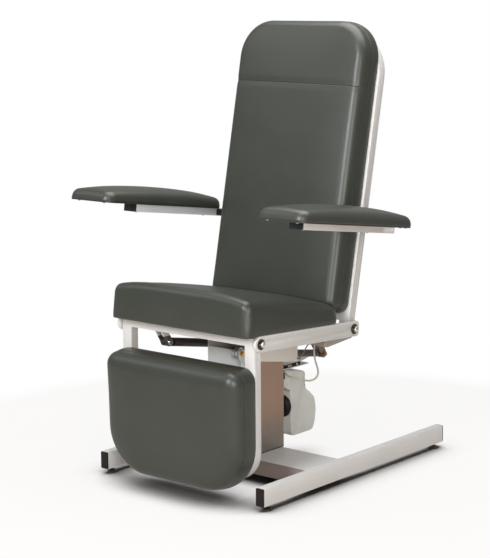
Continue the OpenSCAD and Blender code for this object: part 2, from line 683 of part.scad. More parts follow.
// Routes of the light lead and the thin lead, as across, back and drop below the front pivots
gland_x = 132;
gland_along = 68;
gland_l = 12;
thin_x = 122;
thin_along = 52;
box_slope = box_drop*0.45/(box_l - box_drop/2);
box_tip = atan(box_slope);
function under_box(a) = -bar_h/2 - box_drop + (a - box_drop/2)*box_slope;
function seat_pt(x, s, t) = [x, -pivot_fwd + s*cos(seat_pitch) + t*sin(seat_pitch), pivot_h - s*sin(seat_pitch) + t*cos(seat_pitch)];
function below_box(x, a, d) = seat_pt(x, box_s + a + d*sin(box_tip), under_box(a) - d*cos(box_tip));
lead_points = [[38, 140, 193], [44, 140, 194], [50, 140, 198.5], [56, 140.5, 203], [64, 142, 206.5], [75, 146, 209],
    [86, 153, 212], [94, 165, 216.5], [99, 181, 222], [103, 198, 225], [107, 214, 223.5], [110, 223, 218], [112.5, 228, 210], [114.5, 228.5, 200],
    [116, 223, 185], [118, 213, 168], [121, 203, 151], [125, 194, 134], [129, 188, 118]];
thin_points = [[88, 150, 143], [94, 150, 142.5], [101, 152, 137], [107, 157, 126], [112, 163, 112], [117, 167, 100]];
lead_route = concat([for (p = lead_points) [p[0], p[1], pivot_h - p[2]]],
    [below_box(gland_x, gland_along, 2*gland_l), below_box(gland_x, gland_along, 1.5*gland_l), below_box(gland_x, gland_along, gland_l + slide/3)]);
thin_route = concat([for (p = thin_points) [p[0], p[1], pivot_h - p[2]]],
    [below_box(thin_x, thin_along, gland_l), below_box(thin_x, thin_along, gland_l/2), below_box(thin_x, thin_along, slide/3)]);
function dir(p, i) = i == 0 ? [1, 0, 0] : let(a = p[i - 1], b = p[min(len(p) - 1, i + 1)], d = b - a) d/norm(d);
// Round tube swept along a route
module route_tube(p, d, k) {
    ref = [0.3, 0.1, 1];
    skin([for (i = [0:len(p) - 1]) let(t = dir(p, i), u0 = cross(t, [1, -0.4, 0.2]), u = u0/norm(u0), v = cross(t, u))
        [for (j = [0:k - 1]) p[i] + d/2*(cos(360*j/k)*u + sin(360*j/k)*v)]]);
}
module lead() { color(plastic) chair() route_tube(lead_route, lead_d, 8); }
module thin_lead() { color([0.45, 0.36, 0.3]) chair() route_tube(thin_route, thin_d, 8); }
// Gland where the lead enters the control box
module lead_gland() {
    color(black) seat_place() translate([gland_x, box_s + gland_along, under_box(gland_along)])
        rotate([180 + box_tip, 0, 0]) rotate_extrude() polygon([[0, 0], [lead_d*1.15, 0], [lead_d*1.15, gland_l*0.4],
            [lead_d*0.9, gland_l*0.5], [lead_d*0.65, gland_l], [0, gland_l]]);
}

// Legrest frame: bent tube, top bar, bush bores and lever plates
module bend2d(r) { translate([r, 0]) difference() {
    square([tube_w, tube_t]);
    translate([tube_wall, tube_wall]) square([tube_w - 2*tube_wall, tube_t - 2*tube_wall]);
} }
module upright(len) {
    translate([0, 0, 0]) linear_extrude(len) difference() {
        translate([-tube_w/2, -tube_t/2]) square([tube_w, tube_t]);
        translate([-tube_w/2 + tube_wall, -tube_t/2 + tube_wall]) square([tube_w - 2*tube_wall, tube_t - 2*tube_wall]);
    }
}
leg_drop_all = pivot_h - leg_low;
lever_r = strut_eye_r;
module legrest_frame() {
    mid = frame_out - tube_w/2;
    top = top_bar*0.68;
    color(paint) leg_place() difference() {
        union() {
            for (x = [-mid, mid]) translate([x, 0, -leg_drop_all + leg_r]) upright(leg_drop_all - leg_r + top);
            for (side = [-1, 1]) sided(side)
                translate([frame_out - leg_r, tube_t/2, -leg_drop_all + leg_r]) rotate([90, 0, 0])
                    rotate_extrude(angle = -90) bend2d(leg_r - tube_w);
            translate([-frame_out + leg_r, 0, -leg_drop_all + tube_w/2]) rotate([0, 90, 0]) upright(2*(frame_out - leg_r));
            translate([-frame_in, -tube_t/2, top - top_bar]) difference() {
                cube([2*frame_in, tube_t, top_bar]);
                translate([-over, tube_wall, tube_wall]) cube([2*frame_in + 2*over, tube_t - 2*tube_wall, top_bar - 2*tube_wall]);
            }
            for (side = [-1, 1]) sided(side) rod_x(frame_in, frame_out, bolt_d);
            for (side = [-1, 1]) sided(side) translate([frame_in, -tube_t/2, top - tube_wall])
                cube([tube_w, tube_t, tube_wall]);
            for (x = [leg_strut_x - strut_eye_w/2 - slide - lug_t, leg_strut_x + strut_eye_w/2 + slide]) {
                side_plate(x, x + lug_t) polygon([[-tube_t/2, top - top_bar], [tube_t/2, top - top_bar],
                    [leg_pin_back + lever_r, -leg_pin_down + lever_r/3], [leg_pin_back, -leg_pin_down - lever_r],
                    [leg_pin_back - lever_r, -leg_pin_down]]);
                translate([0, leg_pin_back, -leg_pin_down]) rod_x(x, x + lug_t, lever_r);
            }
        }
        rod_x(-frame_out - over, frame_out + over, bolt_d/2 + run);
        translate([0, leg_pin_back, -leg_pin_down]) rod_x(leg_strut_x - tube_deep, leg_strut_x + tube_deep, pin_d/2);
    }
}
// Pin through lever plates, with its washer and bolt end
module lever_pin(reach) {
    rod_x(-reach, reach, pin_d/2);
    for (side = [-1, 1]) sided(side) {
        rod_x(reach, reach + lug_t/2, pin_d);
        rod_x(reach + lug_t/2, reach + 2*lug_t, pin_d*0.7);
    }
}
pin_reach = strut_eye_w/2 + slide + lug_t;
module legrest_pin() { color("silver") leg_strut_place() lever_pin(pin_reach); }
module legpad_plate(inset) {
    plate2d(legpad_half - inset, legpad_low - pivot_h + inset, legpad_top - pivot_h - inset, legpad_r1 - inset, legpad_r2 - inset);
}
module legrest_board() {
    color(ply) leg_place() translate([0, -tube_t/2, 0]) rotate([90, 0, 0]) linear_extrude(board_t) legpad_plate(wrap);
}
module legrest_pad() {
    color(vinyl) leg_place() translate([0, -tube_t/2, 0]) difference() {
        rotate([90, 0, 0]) cushion(legpad_half, legpad_low - pivot_h, legpad_top - pivot_h,
            legpad_t2, legpad_t, legpad_crown, legpad_r1, legpad_r2, legpad_r, undef, 0, 8, 12);
        translate([0, over, 0]) rotate([90, 0, 0]) linear_extrude(board_t + over) legpad_plate(wrap);
    }
}
// Strut cylinder: eye, neck and tube with the rod's bore, along the second axis
module strut_cylinder(d, end) {
    difference() {
        union() {
            rod_x(-strut_eye_w/2, strut_eye_w/2, strut_eye_r);
            rotate([-90, 0, 0]) cylinder(h = cyl_start + over, d = rod_d*1.3);
            translate([0, cyl_start, 0]) rotate([-90, 0, 0]) cylinder(h = end - cyl_start, d = d);
        }
        rod_x(-strut_eye_w, strut_eye_w, pin_d/2 + run);
        translate([0, cyl_start + rod_d, 0]) rotate([-90, 0, 0]) cylinder(h = end, r = rod_d/2 + run);
    }
}
module leg_cylinder() { color(black) leg_strut_place() strut_cylinder(leg_cyl_d, leg_cyl_end); }
module leg_rod() {
    color("silver") leg_strut_place() {
        translate([0, leg_rod_in, 0]) rotate([-90, 0, 0]) cylinder(h = leg_len - leg_rod_in, d = rod_d);
        translate([0, leg_len, 0]) {
            rod_x(-strut_eye_w/2, strut_eye_w/2, strut_eye_r);
            rod_x(-pin_reach - 2*lug_t, pin_reach + 2*lug_t, pin_d/2);
            for (side = [-1, 1]) sided(side) rod_x(pin_reach + slide, pin_reach + 2*lug_t, pin_d*0.6);
        }
    }
}

// Back frame: bent tube, crossbar, bush bores and lever plates
module back_frame() {
    mid = frame_out - tube_w/2;
    low = -bar_h/2;
    pw = back_pin_back*cos(back_tilt) + back_pin_down*sin(back_tilt);
    ps = -back_pin_down*cos(back_tilt) + back_pin_back*sin(back_tilt);
    color(paint) back_place() difference() {
        union() {
            for (x = [-mid, mid]) translate([x, 0, low]) upright(back_frame_h - back_r - low);
            for (side = [-1, 1]) sided(side)
                translate([frame_out - back_r, tube_t/2, back_frame_h - back_r]) rotate([90, 0, 0])
                    rotate_extrude(angle = 90) bend2d(back_r - tube_w);
            translate([-frame_out + back_r, 0, back_frame_h - tube_w/2]) rotate([0, 90, 0]) upright(2*(frame_out - back_r));
            translate([-frame_in, -tube_t/2, back_bar_s]) difference() {
                cube([2*frame_in, tube_t, back_bar_h]);
                translate([-over, tube_wall, tube_wall]) cube([2*frame_in + 2*over, tube_t - 2*tube_wall, back_bar_h - 2*tube_wall]);
            }
            for (side = [-1, 1]) sided(side) rod_x(frame_in, frame_out, bolt_d);
            for (side = [-1, 1]) sided(side) translate([frame_in, -tube_t/2, low]) cube([tube_w, tube_t, tube_wall]);
            for (x = [back_strut_x - strut_eye_w/2 - slide - lug_t, back_strut_x + strut_eye_w/2 + slide]) {
                side_plate(x, x + lug_t) polygon([[-tube_t/2, back_bar_s], [tube_t/2, back_bar_s],
                    [tube_t/2, back_bar_s + tube_t], [tube_t, back_bar_s + tube_t/2],
                    [pw + lever_r*0.7, ps + lever_r*0.7], [pw, ps - lever_r], [pw - lever_r, ps]]);
                translate([0, pw, ps]) rod_x(x, x + lug_t, lever_r);
            }
        }
        rod_x(-frame_out - over, frame_out + over, bolt_d/2 + run);
        translate([0, pw, ps]) rod_x(back_strut_x - tube_deep, back_strut_x + tube_deep, pin_d/2);
        for (side = [-1, 1]) sided(side) translate([0, 0, arm_s]) rod_x(frame_in, frame_out + over, arm_pin_d/2);
    }
}
module back_pin() { color("silver") back_strut_place() lever_pin(pin_reach); }
module backpad_plate(inset) {
    plate2d(backpad_half - inset, backpad_low + inset, backpad_top - inset, backpad_r1 - inset, backpad_r2 - inset);
}
module back_board() {
    color(ply) back_place() translate([0, -tube_t/2, 0]) rotate([90, 0, 0]) linear_extrude(board_t) backpad_plate(wrap);
}
module back_pad() {
    color(vinyl) back_place() translate([0, -tube_t/2, 0]) difference() {
        rotate([90, 0, 0]) cushion(backpad_half, backpad_low, backpad_top, backpad_t, backpad_t, backpad_crown,
            backpad_r1, backpad_r2, backpad_r, seam_s, tube_wall, 14, 12);
        translate([0, over, 0]) rotate([90, 0, 0]) linear_extrude(board_t + over) backpad_plate(wrap);
    }
}
module back_cylinder() {
    color(black) back_strut_place() ended(-1) strut_cylinder(back_cyl_d, back_cyl_end);
}
module back_rod() {
    color("silver") back_strut_place() difference() {
        union() {
            translate([0, -back_len, 0]) rotate([-90, 0, 0]) cylinder(h = back_len - back_rod_in, d = rod_d);
            translate([0, -back_len, 0]) rod_x(-strut_eye_w/2, strut_eye_w/2, notch_eye_r);
        }
        translate([-strut_eye_w, -back_len - notch_win, -notch_win]) cube([2*strut_eye_w, 2*notch_win, 2*notch_win]);
    }
}

// Arm pivot block on the back frame with its pin
block_l = 62;
block_h = arm_h - cap_t;
module arm_block(side) {
    color(black) arm_place() sided(side) {
        side_plate(frame_out, arm_in) plate_yz(-block_l*0.6, block_l*0.4, -block_h/2, block_h/2, block_h/5);
        rod_x(frame_in + tube_wall, frame_out, arm_pin_d/2);
        rod_x(arm_in, arm_in + slide + arm_pin_d, arm_pin_d/2);
        rod_x(arm_in + 2*slide + arm_pin_d*0.7, arm_in + arm_pin_d*1.2, arm_h*0.36);
    }
}
module arm_block_left() { arm_block(1); }
module arm_block_right() { arm_block(-1); }
// Flat arm tube with the bush of its pivot and its moulded front cap seat
module arm_tube(side) {
    color(paint) arm_place() sided(side) difference() {
        union() {
            translate([arm_in + slide + arm_w/2, -arm_fwd, 0]) box_tube(arm_w, arm_h, arm_fwd + arm_tail, tube_wall);
            rod_x(arm_in + slide, arm_in + slide + arm_pin_d*0.7, arm_h*0.4);
        }
        rod_x(arm_in, arm_in + arm_pin_d + slide, arm_pin_d/2 + run);
        translate([0, arm_tail - cap_t*3, 0]) rod_x(arm_in + arm_w/2, arm_in + arm_w + over, cap_t);
    }
    color(black) arm_place() sided(side) translate([arm_in + slide + arm_w/2, -arm_fwd - cap_t - tube_wall, 0]) {
        translate([-arm_w/2, 0, -arm_h/2]) cube([arm_w, cap_t + tube_wall, arm_h]);
        translate([-arm_w/2 + tube_wall, 0, -arm_h/2 + tube_wall]) cube([arm_w - 2*tube_wall, cap_plug, arm_h - 2*tube_wall]);
    }
}
module arm_tube_left() { arm_tube(1); }
module arm_tube_right() { arm_tube(-1); }
// Arm board and boat-shaped pad, set outwards over the tube
armpad_mid = arm_in + slide - armpad_over + armpad_w/2;
armpad_y0 = -armpad_gap - armpad_l;
module armpad_place(side) { arm_place() sided(side) translate([armpad_mid, 0, arm_h/2]) children(); }
module armpad_plate(inset) {
    plate2d(armpad_w/2 - inset, armpad_y0 + inset, -armpad_gap - inset, armpad_r1 - inset, armpad_r1 - inset);
}
module arm_board(side) { color(black) armpad_place(side) linear_extrude(board_t) armpad_plate(wrap/2); }
module arm_board_left() { arm_board(1); }
module arm_board_right() { arm_board(-1); }
module arm_pad(side) {
    rb = armpad_r/3;
    y1 = -armpad_gap;
    color(vinyl) armpad_place(side) translate([0, 0, board_t])
        skin([for (s = stations(armpad_y0, y1, armpad_r1, armpad_r1, [], 6)) let(
            f = (s - armpad_y0)/armpad_l,
            a = armpad_w/2 - edge_in(s - armpad_y0, armpad_r1) - edge_in(y1 - s, armpad_r1),
            e = max(edge_in(s - armpad_y0, armpad_r), edge_in(y1 - s, armpad_r)),
            lift = pow(sin(180*f), 0.7),
            t = armpad_t2 - board_t - e + (armpad_edge - armpad_t2)*lift)
            [for (p = section(a, 0, max(t, armpad_r/2), (armpad_t - armpad_edge)*lift, min(armpad_r, a/3), rb, 0, 8)) [p[0], s, p[1]]]]);
}
module arm_pad_left() { arm_pad(1); }
module arm_pad_right() { arm_pad(-1); }

base_rail_left();
base_rail_right();
cap_front_left();
cap_front_right();
cap_rear_left();
cap_rear_right();
crossmember();
column_gasket();
mast();
mast_glides();
foot_front_left();
foot_front_right();
foot_rear_left();
foot_rear_right();
column_sleeve();
sleeve_glides();
lift_spindle();
lifting_head();
strut_bracket();
notch_pin();
seat_bar_left();
seat_bar_right();
cross_tube_front();
cross_tube_rear();
bolt_front_left();
bolt_front_right();
bolt_rear_left();
bolt_rear_right();
seat_board();
seat_cushion();
drive_bracket();
drive_housing();
motor_cap();
connector_block();
control_box();
control_box_end();
lead_gland();
lead();
thin_lead();
legrest_frame();
legrest_pin();
legrest_board();
legrest_pad();
leg_cylinder();
leg_rod();
back_frame();
back_pin();
back_board();
back_pad();
arm_block_left();
arm_block_right();
back_cylinder();
back_rod();
arm_tube_left();
arm_tube_right();
arm_board_left();
arm_board_right();
arm_pad_left();
arm_pad_right();
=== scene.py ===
"""Dressed model of a phlebotomy chair: upholstery, painted steel work, column, drive and leads.

The file is laid out as an add-on and is run as a script. Lengths are metres, +Z is up, the sitter faces -Y.
"""

import json
import math

import bmesh
import bpy
import numpy as np
from mathutils import Matrix, Vector


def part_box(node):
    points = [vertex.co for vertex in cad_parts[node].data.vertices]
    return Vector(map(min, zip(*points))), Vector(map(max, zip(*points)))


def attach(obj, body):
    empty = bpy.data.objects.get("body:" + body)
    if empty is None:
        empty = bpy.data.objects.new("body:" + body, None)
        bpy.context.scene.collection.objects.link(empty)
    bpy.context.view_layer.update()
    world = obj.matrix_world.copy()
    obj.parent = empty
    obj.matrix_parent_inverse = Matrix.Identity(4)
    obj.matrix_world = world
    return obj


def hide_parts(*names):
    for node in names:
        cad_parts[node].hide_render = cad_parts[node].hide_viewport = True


bl_info = {
    "name": "Phlebotomy chair",
    "version": (1, 0, 0),
    "blender": (4, 5, 0),
    "location": "View3D > Sidebar > Chair",
    "description": "Upholstery, paint, metal and studio for the chair",
    "category": "Object",
}

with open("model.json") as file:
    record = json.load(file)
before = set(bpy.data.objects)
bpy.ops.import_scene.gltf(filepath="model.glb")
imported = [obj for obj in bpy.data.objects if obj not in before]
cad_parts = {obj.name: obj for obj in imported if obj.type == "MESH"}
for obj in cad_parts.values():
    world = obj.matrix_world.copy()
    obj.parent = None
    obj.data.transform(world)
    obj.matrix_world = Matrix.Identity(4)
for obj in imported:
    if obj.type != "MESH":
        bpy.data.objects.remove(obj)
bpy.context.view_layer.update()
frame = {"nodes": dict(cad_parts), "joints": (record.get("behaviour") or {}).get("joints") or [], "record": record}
NODES = frame["nodes"]
BODY_OF = {node: body for body, names in frame["record"]["behaviour"]["bodies"].items() for node in names}

# Places of the sloped seat, the legrest, the leaning back and the arms: origin, and turn about X in degrees
PIVOT = {joint["name"]: (0.0, *joint["pos_m"][1:]) for joint in frame["joints"] if "pos_m" in joint}
SEAT = (PIVOT["legrest_raise"], -3.3)
LEG = (PIVOT["legrest_raise"], 0.0)
BACK = (PIVOT["back_recline"], -11.6)
ARM = (PIVOT["arm_left_lift"], -7.9)
# The part's own drawing has the front pivot at y -0.275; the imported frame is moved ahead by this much
AHEAD = PIVOT["legrest_raise"][1] + 0.275
HIGH = PIVOT["legrest_raise"][2]


# ---------------------------------------------------------------- shader maths
class Field:
    """A shader socket that takes part in Python expressions; each operator adds one Math node."""

    def __init__(self, tree, socket):
        self.tree, self.socket = tree, socket

    def math(self, operation, *values):
        """One Math node on values that are fields or numbers."""
        node = self.tree.nodes.new("ShaderNodeMath")
        node.operation = operation
        for slot, value in zip(node.inputs, values):
            if isinstance(value, Field):
                self.tree.links.new(value.socket, slot)
            else:
                slot.default_value = value
        return Field(self.tree, node.outputs[0])

    def __add__(self, other):
        return self.math("ADD", self, other)

    __radd__ = __add__

    def __mul__(self, other):
        return self.math("MULTIPLY", self, other)

    __rmul__ = __mul__

    def __sub__(self, other):
        return self.math("SUBTRACT", self, other)

    def __rsub__(self, other):
        return self.math("SUBTRACT", other, self)

    def __abs__(self):
        return self.math("ABSOLUTE", self)

    def largest(self, other):
        return self.math("MAXIMUM", self, other)

    def root(self):
        return self.math("SQRT", self)

    def rise(self, low, high):
        """0 below low, 1 above high and a smooth step between; low may be the larger one."""
        node = self.tree.nodes.new("ShaderNodeMapRange")
        node.interpolation_type = "SMOOTHSTEP"
        self.tree.links.new(self.socket, node.inputs["Value"])
        node.inputs["From Min"].default_value = low
        node.inputs["From Max"].default_value = high
        return Field(self.tree, node.outputs["Result"])


class Finish:
    """One procedural material, built on a Principled BSDF from Object coordinates."""

    def __init__(self, name, colour, roughness=0.5, metallic=0.0, **fixed):
        self.material = bpy.data.materials.new(name)
        self.material.use_nodes = True
        self.tree = self.material.node_tree
        self.shader = self.tree.nodes["Principled BSDF"]
        self.shader.inputs["Base Color"].default_value = (*colour, 1.0)
        self.shader.inputs["Roughness"].default_value = roughness
        self.shader.inputs["Metallic"].default_value = metallic
        for socket, value in fixed.items():
            self.shader.inputs[socket.replace("_", " ")].default_value = value
        self.place = self.node("ShaderNodeTexCoord", {}, {}).outputs["Object"]

    def node(self, kind, settings, values):
        """A node of that kind: its settings are set first, then its sockets get values or links."""
        made = self.tree.nodes.new(kind)
        for name, value in settings.items():
            setattr(made, name, value)
        for name, value in values.items():
            socket = made.inputs[name]
            source = value.socket if isinstance(value, Field) else value
            if isinstance(source, bpy.types.NodeSocket):
                self.tree.links.new(source, socket)
            else:
                socket.default_value = source
        return made

    def field(self, socket):
        return Field(self.tree, socket)

    def moved(self, place, turn):
        """Object coordinates seen in a local frame with that origin and turn about X."""
        back = Matrix.Rotation(math.radians(-turn), 3, "X")
        shift = back @ Vector([-v for v in place])
        values = {"Vector": self.place, "Location": shift, "Rotation": (math.radians(-turn), 0, 0)}
        return self.node("ShaderNodeMapping", {"vector_type": "POINT"}, values).outputs[0]

    def parts(self, vector=None):
        """The three coordinates of a vector, as fields."""
        split = self.node("ShaderNodeSeparateXYZ", {}, {"Vector": vector or self.place})
        return [self.field(o) for o in split.outputs]

    def scaled(self, factors):
        """Object coordinates times a factor for each axis."""
        values = {"Vector": self.place, "Scale": factors}
        return self.node("ShaderNodeMapping", {"vector_type": "POINT"}, values).outputs[0]

    def noise(self, scale, detail, roughness, vector=None, distortion=0.0):
        """Fractal noise from 0 to 1."""
        values = {"Vector": vector or self.place, "Scale": scale, "Detail": detail, "Roughness": roughness,
                  "Distortion": distortion}
        return self.field(self.node("ShaderNodeTexNoise", {"noise_dimensions": "3D"}, values).outputs["Fac"])

    def cells(self, scale):
        """Distance to the nearest point of a scattered set."""
        made = self.node("ShaderNodeTexVoronoi", {"feature": "F1"}, {"Vector": self.place, "Scale": scale})
        return self.field(made.outputs["Distance"])

    def mix(self, factor, first, second):
        """Colour between first and second by factor; a Mix node's colour sockets go by number."""
        ends = [(*end, 1.0) if isinstance(end, tuple) else end for end in (first, second)]
        made = self.node("ShaderNodeMix", {"data_type": "RGBA"}, {0: factor, 6: ends[0], 7: ends[1]})
        return made.outputs[2]

    def bump(self, height, distance, strength=1.0, normal=None):
        values = {"Height": height, "Distance": distance, "Strength": strength}
        if normal is not None:
            values["Normal"] = normal
        return self.node("ShaderNodeBump", {}, values).outputs["Normal"]

    def wire(self, **sockets):
        """Links what varies over the surface to the shader's own sockets."""
        for name, value in sockets.items():
            source = value.socket if isinstance(value, Field) else value
            self.tree.links.new(source, self.shader.inputs[name.replace("_", " ")])
        return self.material


def shade(colour, factor):
    return tuple(min(1.0, c * factor) for c in colour)


# ---------------------------------------------------------------- properties
class ChairUpholstery(bpy.types.PropertyGroup):
    """Sizes and colours of the padded pieces."""

    colour: bpy.props.FloatVectorProperty(
        name="Vinyl colour", description="Colour of the upholstery vinyl", subtype="COLOR", size=3, min=0, max=1,
        default=(0.0262, 0.0300, 0.0225),
    )
    gloss: bpy.props.FloatProperty(
        name="Vinyl roughness", description="Roughness of the vinyl, low is shinier", min=0.1, max=0.9, default=0.40,
        subtype="FACTOR",
    )
    grain: bpy.props.FloatProperty(
        name="Grain depth", description="Depth of the vinyl's pressed grain", min=0, max=0.001, default=0.00006,
        subtype="DISTANCE", unit="LENGTH", precision=5,
    )
    swell: bpy.props.FloatProperty(
        name="Swell", description="Largest distance the foam pushes the cover outwards", min=0, max=0.02,
        default=0.006, subtype="DISTANCE", unit="LENGTH",
    )
    seam_depth: bpy.props.FloatProperty(
        name="Seam depth", description="How far the cross seam draws the cover in", min=0, max=0.01, default=0.0022,
        subtype="DISTANCE", unit="LENGTH",
    )


class ChairSteel(bpy.types.PropertyGroup):
    """Colours and edges of the painted steel and the metal."""

    paint: bpy.props.FloatVectorProperty(
        name="Paint colour", description="Enamel on the tubes and the base", subtype="COLOR", size=3, min=0, max=1,
        default=(0.685, 0.677, 0.668),
    )
    column: bpy.props.FloatVectorProperty(
        name="Column colour", description="Brushed metal of the column sleeve", subtype="COLOR", size=3, min=0,
        max=1, default=(0.41, 0.285, 0.215),
    )
    edge: bpy.props.FloatProperty(
        name="Tube edge radius", description="Rounding of the tube corners", min=0.0005, max=0.005, default=0.0022,
        subtype="DISTANCE", unit="LENGTH",
    )


class ChairStage(bpy.types.PropertyGroup):
    """Light level of the studio."""

    level: bpy.props.FloatProperty(
        name="Light level", description="Share of the plain light level", min=0.2, max=2, default=1.0,
    )


# ---------------------------------------------------------------- mesh helpers
# Degrees: faces flatter to each other than the first are joined, edges sharper than the second are rounded
FLAT_ANGLE, SHARP_ANGLE = 1.0, 38.0


def merged(mesh, reach, join_flat=False):
    """Merges doubled points, joins flat neighbours where asked, and turns the faces outwards."""
    made = bmesh.new()
    made.from_mesh(mesh)
    bmesh.ops.remove_doubles(made, verts=made.verts, dist=reach)
    if join_flat:
        bmesh.ops.dissolve_limit(made, angle_limit=math.radians(FLAT_ANGLE), verts=made.verts, edges=made.edges,
                                 use_dissolve_boundaries=False)
    bmesh.ops.recalc_face_normals(made, faces=made.faces)
    made.to_mesh(mesh)
    made.free()


def shown_as(name, mesh, material, body, slot, smooth=True):
    """An object at the origin for the mesh, riding on a body."""
    mesh.materials.clear()
    mesh.materials.append(material)
    mesh.polygons.foreach_set("use_smooth", np.full(len(mesh.polygons), smooth))
    piece = bpy.data.objects.new(name, mesh)
    bpy.context.scene.collection.objects.link(piece)
    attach(piece, body)
    return piece


def new_piece(name, points, faces, material, body, slot, smooth=True):
    """A piece from an array of points and a list of faces."""
    mesh = bpy.data.meshes.new(name)
    mesh.from_pydata(points.tolist(), [], faces)
    mesh.update()
    merged(mesh, 1e-6)
    return shown_as(name, mesh, material, body, slot, smooth)


def placed(points, spot):
    """Points given as across, along, up in a local frame, turned about X and moved to their place."""
    origin, turn = spot
    c, s = math.cos(math.radians(turn)), math.sin(math.radians(turn))
    x, y, z = points.T
    return np.column_stack([x, y * c - z * s, y * s + z * c]) + origin


def in_frame(points, spot):
    """Across, along and up of points in a local frame: placed in reverse."""
    origin, turn = spot
    c, s = math.cos(math.radians(turn)), math.sin(math.radians(turn))
    x, y, z = (points - origin).T
    return x, y * c + z * s, z * c - y * s


def values_of(items, what, width=3, kind=float):
    """A property of a mesh's points or edges as an array with a row for each."""
    flat = np.empty(len(items) * width, kind)
    items.foreach_get(what, flat)
    return flat.reshape(-1, width)


def strip_faces(rows, columns):
    """Quads between consecutive rows of points, each row a closed ring."""
    i = np.arange(rows - 1)[:, None] * columns
    j = np.arange(columns)[None, :]
    k = (j + 1) % columns
    return np.stack([i + j, i + k, i + columns + k, i + columns + j], -1).reshape(-1, 4)


def prism_faces(rows, columns):
    """Faces of rings joined in a row, with each end closed by one flat face."""
    last = (rows - 1) * columns
    ends = [list(range(columns))[::-1], list(range(last, last + columns))]
    return strip_faces(rows, columns).tolist() + ends


def closed_tube(rings, ends):
    """Points and faces of rings joined to a tube, with each end closed by a point."""
    count, sides = rings.shape[:2]
    first, last = count * sides, (count - 1) * sides
    k = np.arange(sides)
    ahead = (k + 1) % sides
    faces = strip_faces(count, sides).tolist()
    faces += np.stack([np.full(sides, first), ahead, k], 1).tolist()
    faces += np.stack([np.full(sides, first + 1), last + k, last + ahead], 1).tolist()
    return np.concatenate([rings.reshape(-1, 3), ends]), faces


def turned(profile, origin, ahead, sides=20):
    """A profile of (radius, distance along) pairs turned round a line."""
    profile = np.array(profile, float)
    ahead = np.array(ahead, float)
    side = np.cross(ahead, (0.0, 0.0, 1.0) if abs(ahead[2]) < 0.9 else (1.0, 0.0, 0.0))
    side /= np.linalg.norm(side)
    turn = np.radians(np.arange(sides) * 360 / sides)[None, :, None]
    spokes = np.cos(turn) * side + np.sin(turn) * np.cross(ahead, side)
    rings = np.array(origin) + profile[:, 1, None, None] * ahead + profile[:, 0, None, None] * spokes
    return closed_tube(rings, np.array(origin) + profile[[0, -1], 1][:, None] * ahead)


def gathered(shapes):
    """Several (points, faces) shapes as one."""
    points, faces, start = [], [], 0
    for p, f in shapes:
        points.append(p)
        faces += [[k + start for k in face] for face in f]
        start += len(p)
    return np.concatenate(points), faces


def carried(outline, stations, insets):
    """A closed outline carried along X: at each station every point is drawn in along its own normal."""
    outline = np.array(outline, float)
    step = np.roll(outline, -1, 0) - np.roll(outline, 1, 0)
    normal = np.stack([step[:, 1], -step[:, 0]], 1)
    normal /= np.linalg.norm(normal, axis=1, keepdims=True)
    area = np.sum(outline[:, 0] * np.roll(outline[:, 1], -1) - np.roll(outline[:, 0], -1) * outline[:, 1])
    normal *= np.sign(area)
    stations, insets = np.array(stations, float), np.array(insets, float)
    flat = outline[None] - normal[None] * insets[:, None, None]
    across = np.broadcast_to(stations[:, None, None], flat.shape[:2] + (1,))
    points = np.concatenate([across, flat], 2).reshape(-1, 3)
    return points, prism_faces(len(stations), len(outline))


def softened(corners, share=0.1, rounds=3):
    """Corner cutting: each side is replaced by its points at share and 1 - share, several times."""
    line = np.array(corners, float)
    for _ in range(rounds):
        ahead = np.roll(line, -1, 0)
        line = np.stack([line * (1 - share) + ahead * share, line * share + ahead * (1 - share)], 1).reshape(-1, 2)
    return line


def eased(node, width, material, slot, segments=2):
    """A merged copy of a CAD node with its sharp edges rounded by a small bevel; it stands for the node."""
    mesh = NODES[node].data.copy()
    merged(mesh, 2e-6, join_flat=True)
    piece = shown_as(f"{node}_finished", mesh, material, BODY_OF[node], slot)
    bevel = piece.modifiers.new("Eased edges", "BEVEL")
    bevel.width, bevel.segments, bevel.limit_method = width, segments, "ANGLE"
    bevel.angle_limit = math.radians(SHARP_ANGLE)
    bevel.use_clamp_overlap = bevel.harden_normals = True
    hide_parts(node)


def dress(material, *nodes):
    """Gives CAD nodes their material."""
    for node in nodes:
        NODES[node].data.materials.clear()
        NODES[node].data.materials.append(material)


# ---------------------------------------------------------------- padded pieces
# How far the upright boards' fronts are ahead of their pivots, and the fall of the cross seam over its length
BOARD_AHEAD, SEAM_TILT = 0.015, 0.014
# The two upright pads: depth of their rim seams, ahead of the pivots, how far a rim seam draws the cover in and its
# width, and the depth from which the cover is free of its board for the foam's pressure and for the seam
BACK_RIM, LEG_RIM = -BOARD_AHEAD - 0.039, -BOARD_AHEAD - 0.052
RIM_DRAWN, RIM_WIDTH = 0.0010, 0.006
FREE_TO_SWELL, FREE_TO_PINCH = -0.029, -0.03
# The pressure simulation's frames, and the averaging of its movement: passes, and the share of the neighbours
SWELL_FRAMES, EVEN_PASSES, EVEN_SHARE = 20, 60, 0.65
CLOTH = {
    "quality": 4, "mass": 0.3, "tension_stiffness": 25, "compression_stiffness": 25, "shear_stiffness": 12,
    "bending_stiffness": 2.0, "use_pressure": True, "uniform_pressure_force": 4.0, "vertex_group_mass": "held",
}


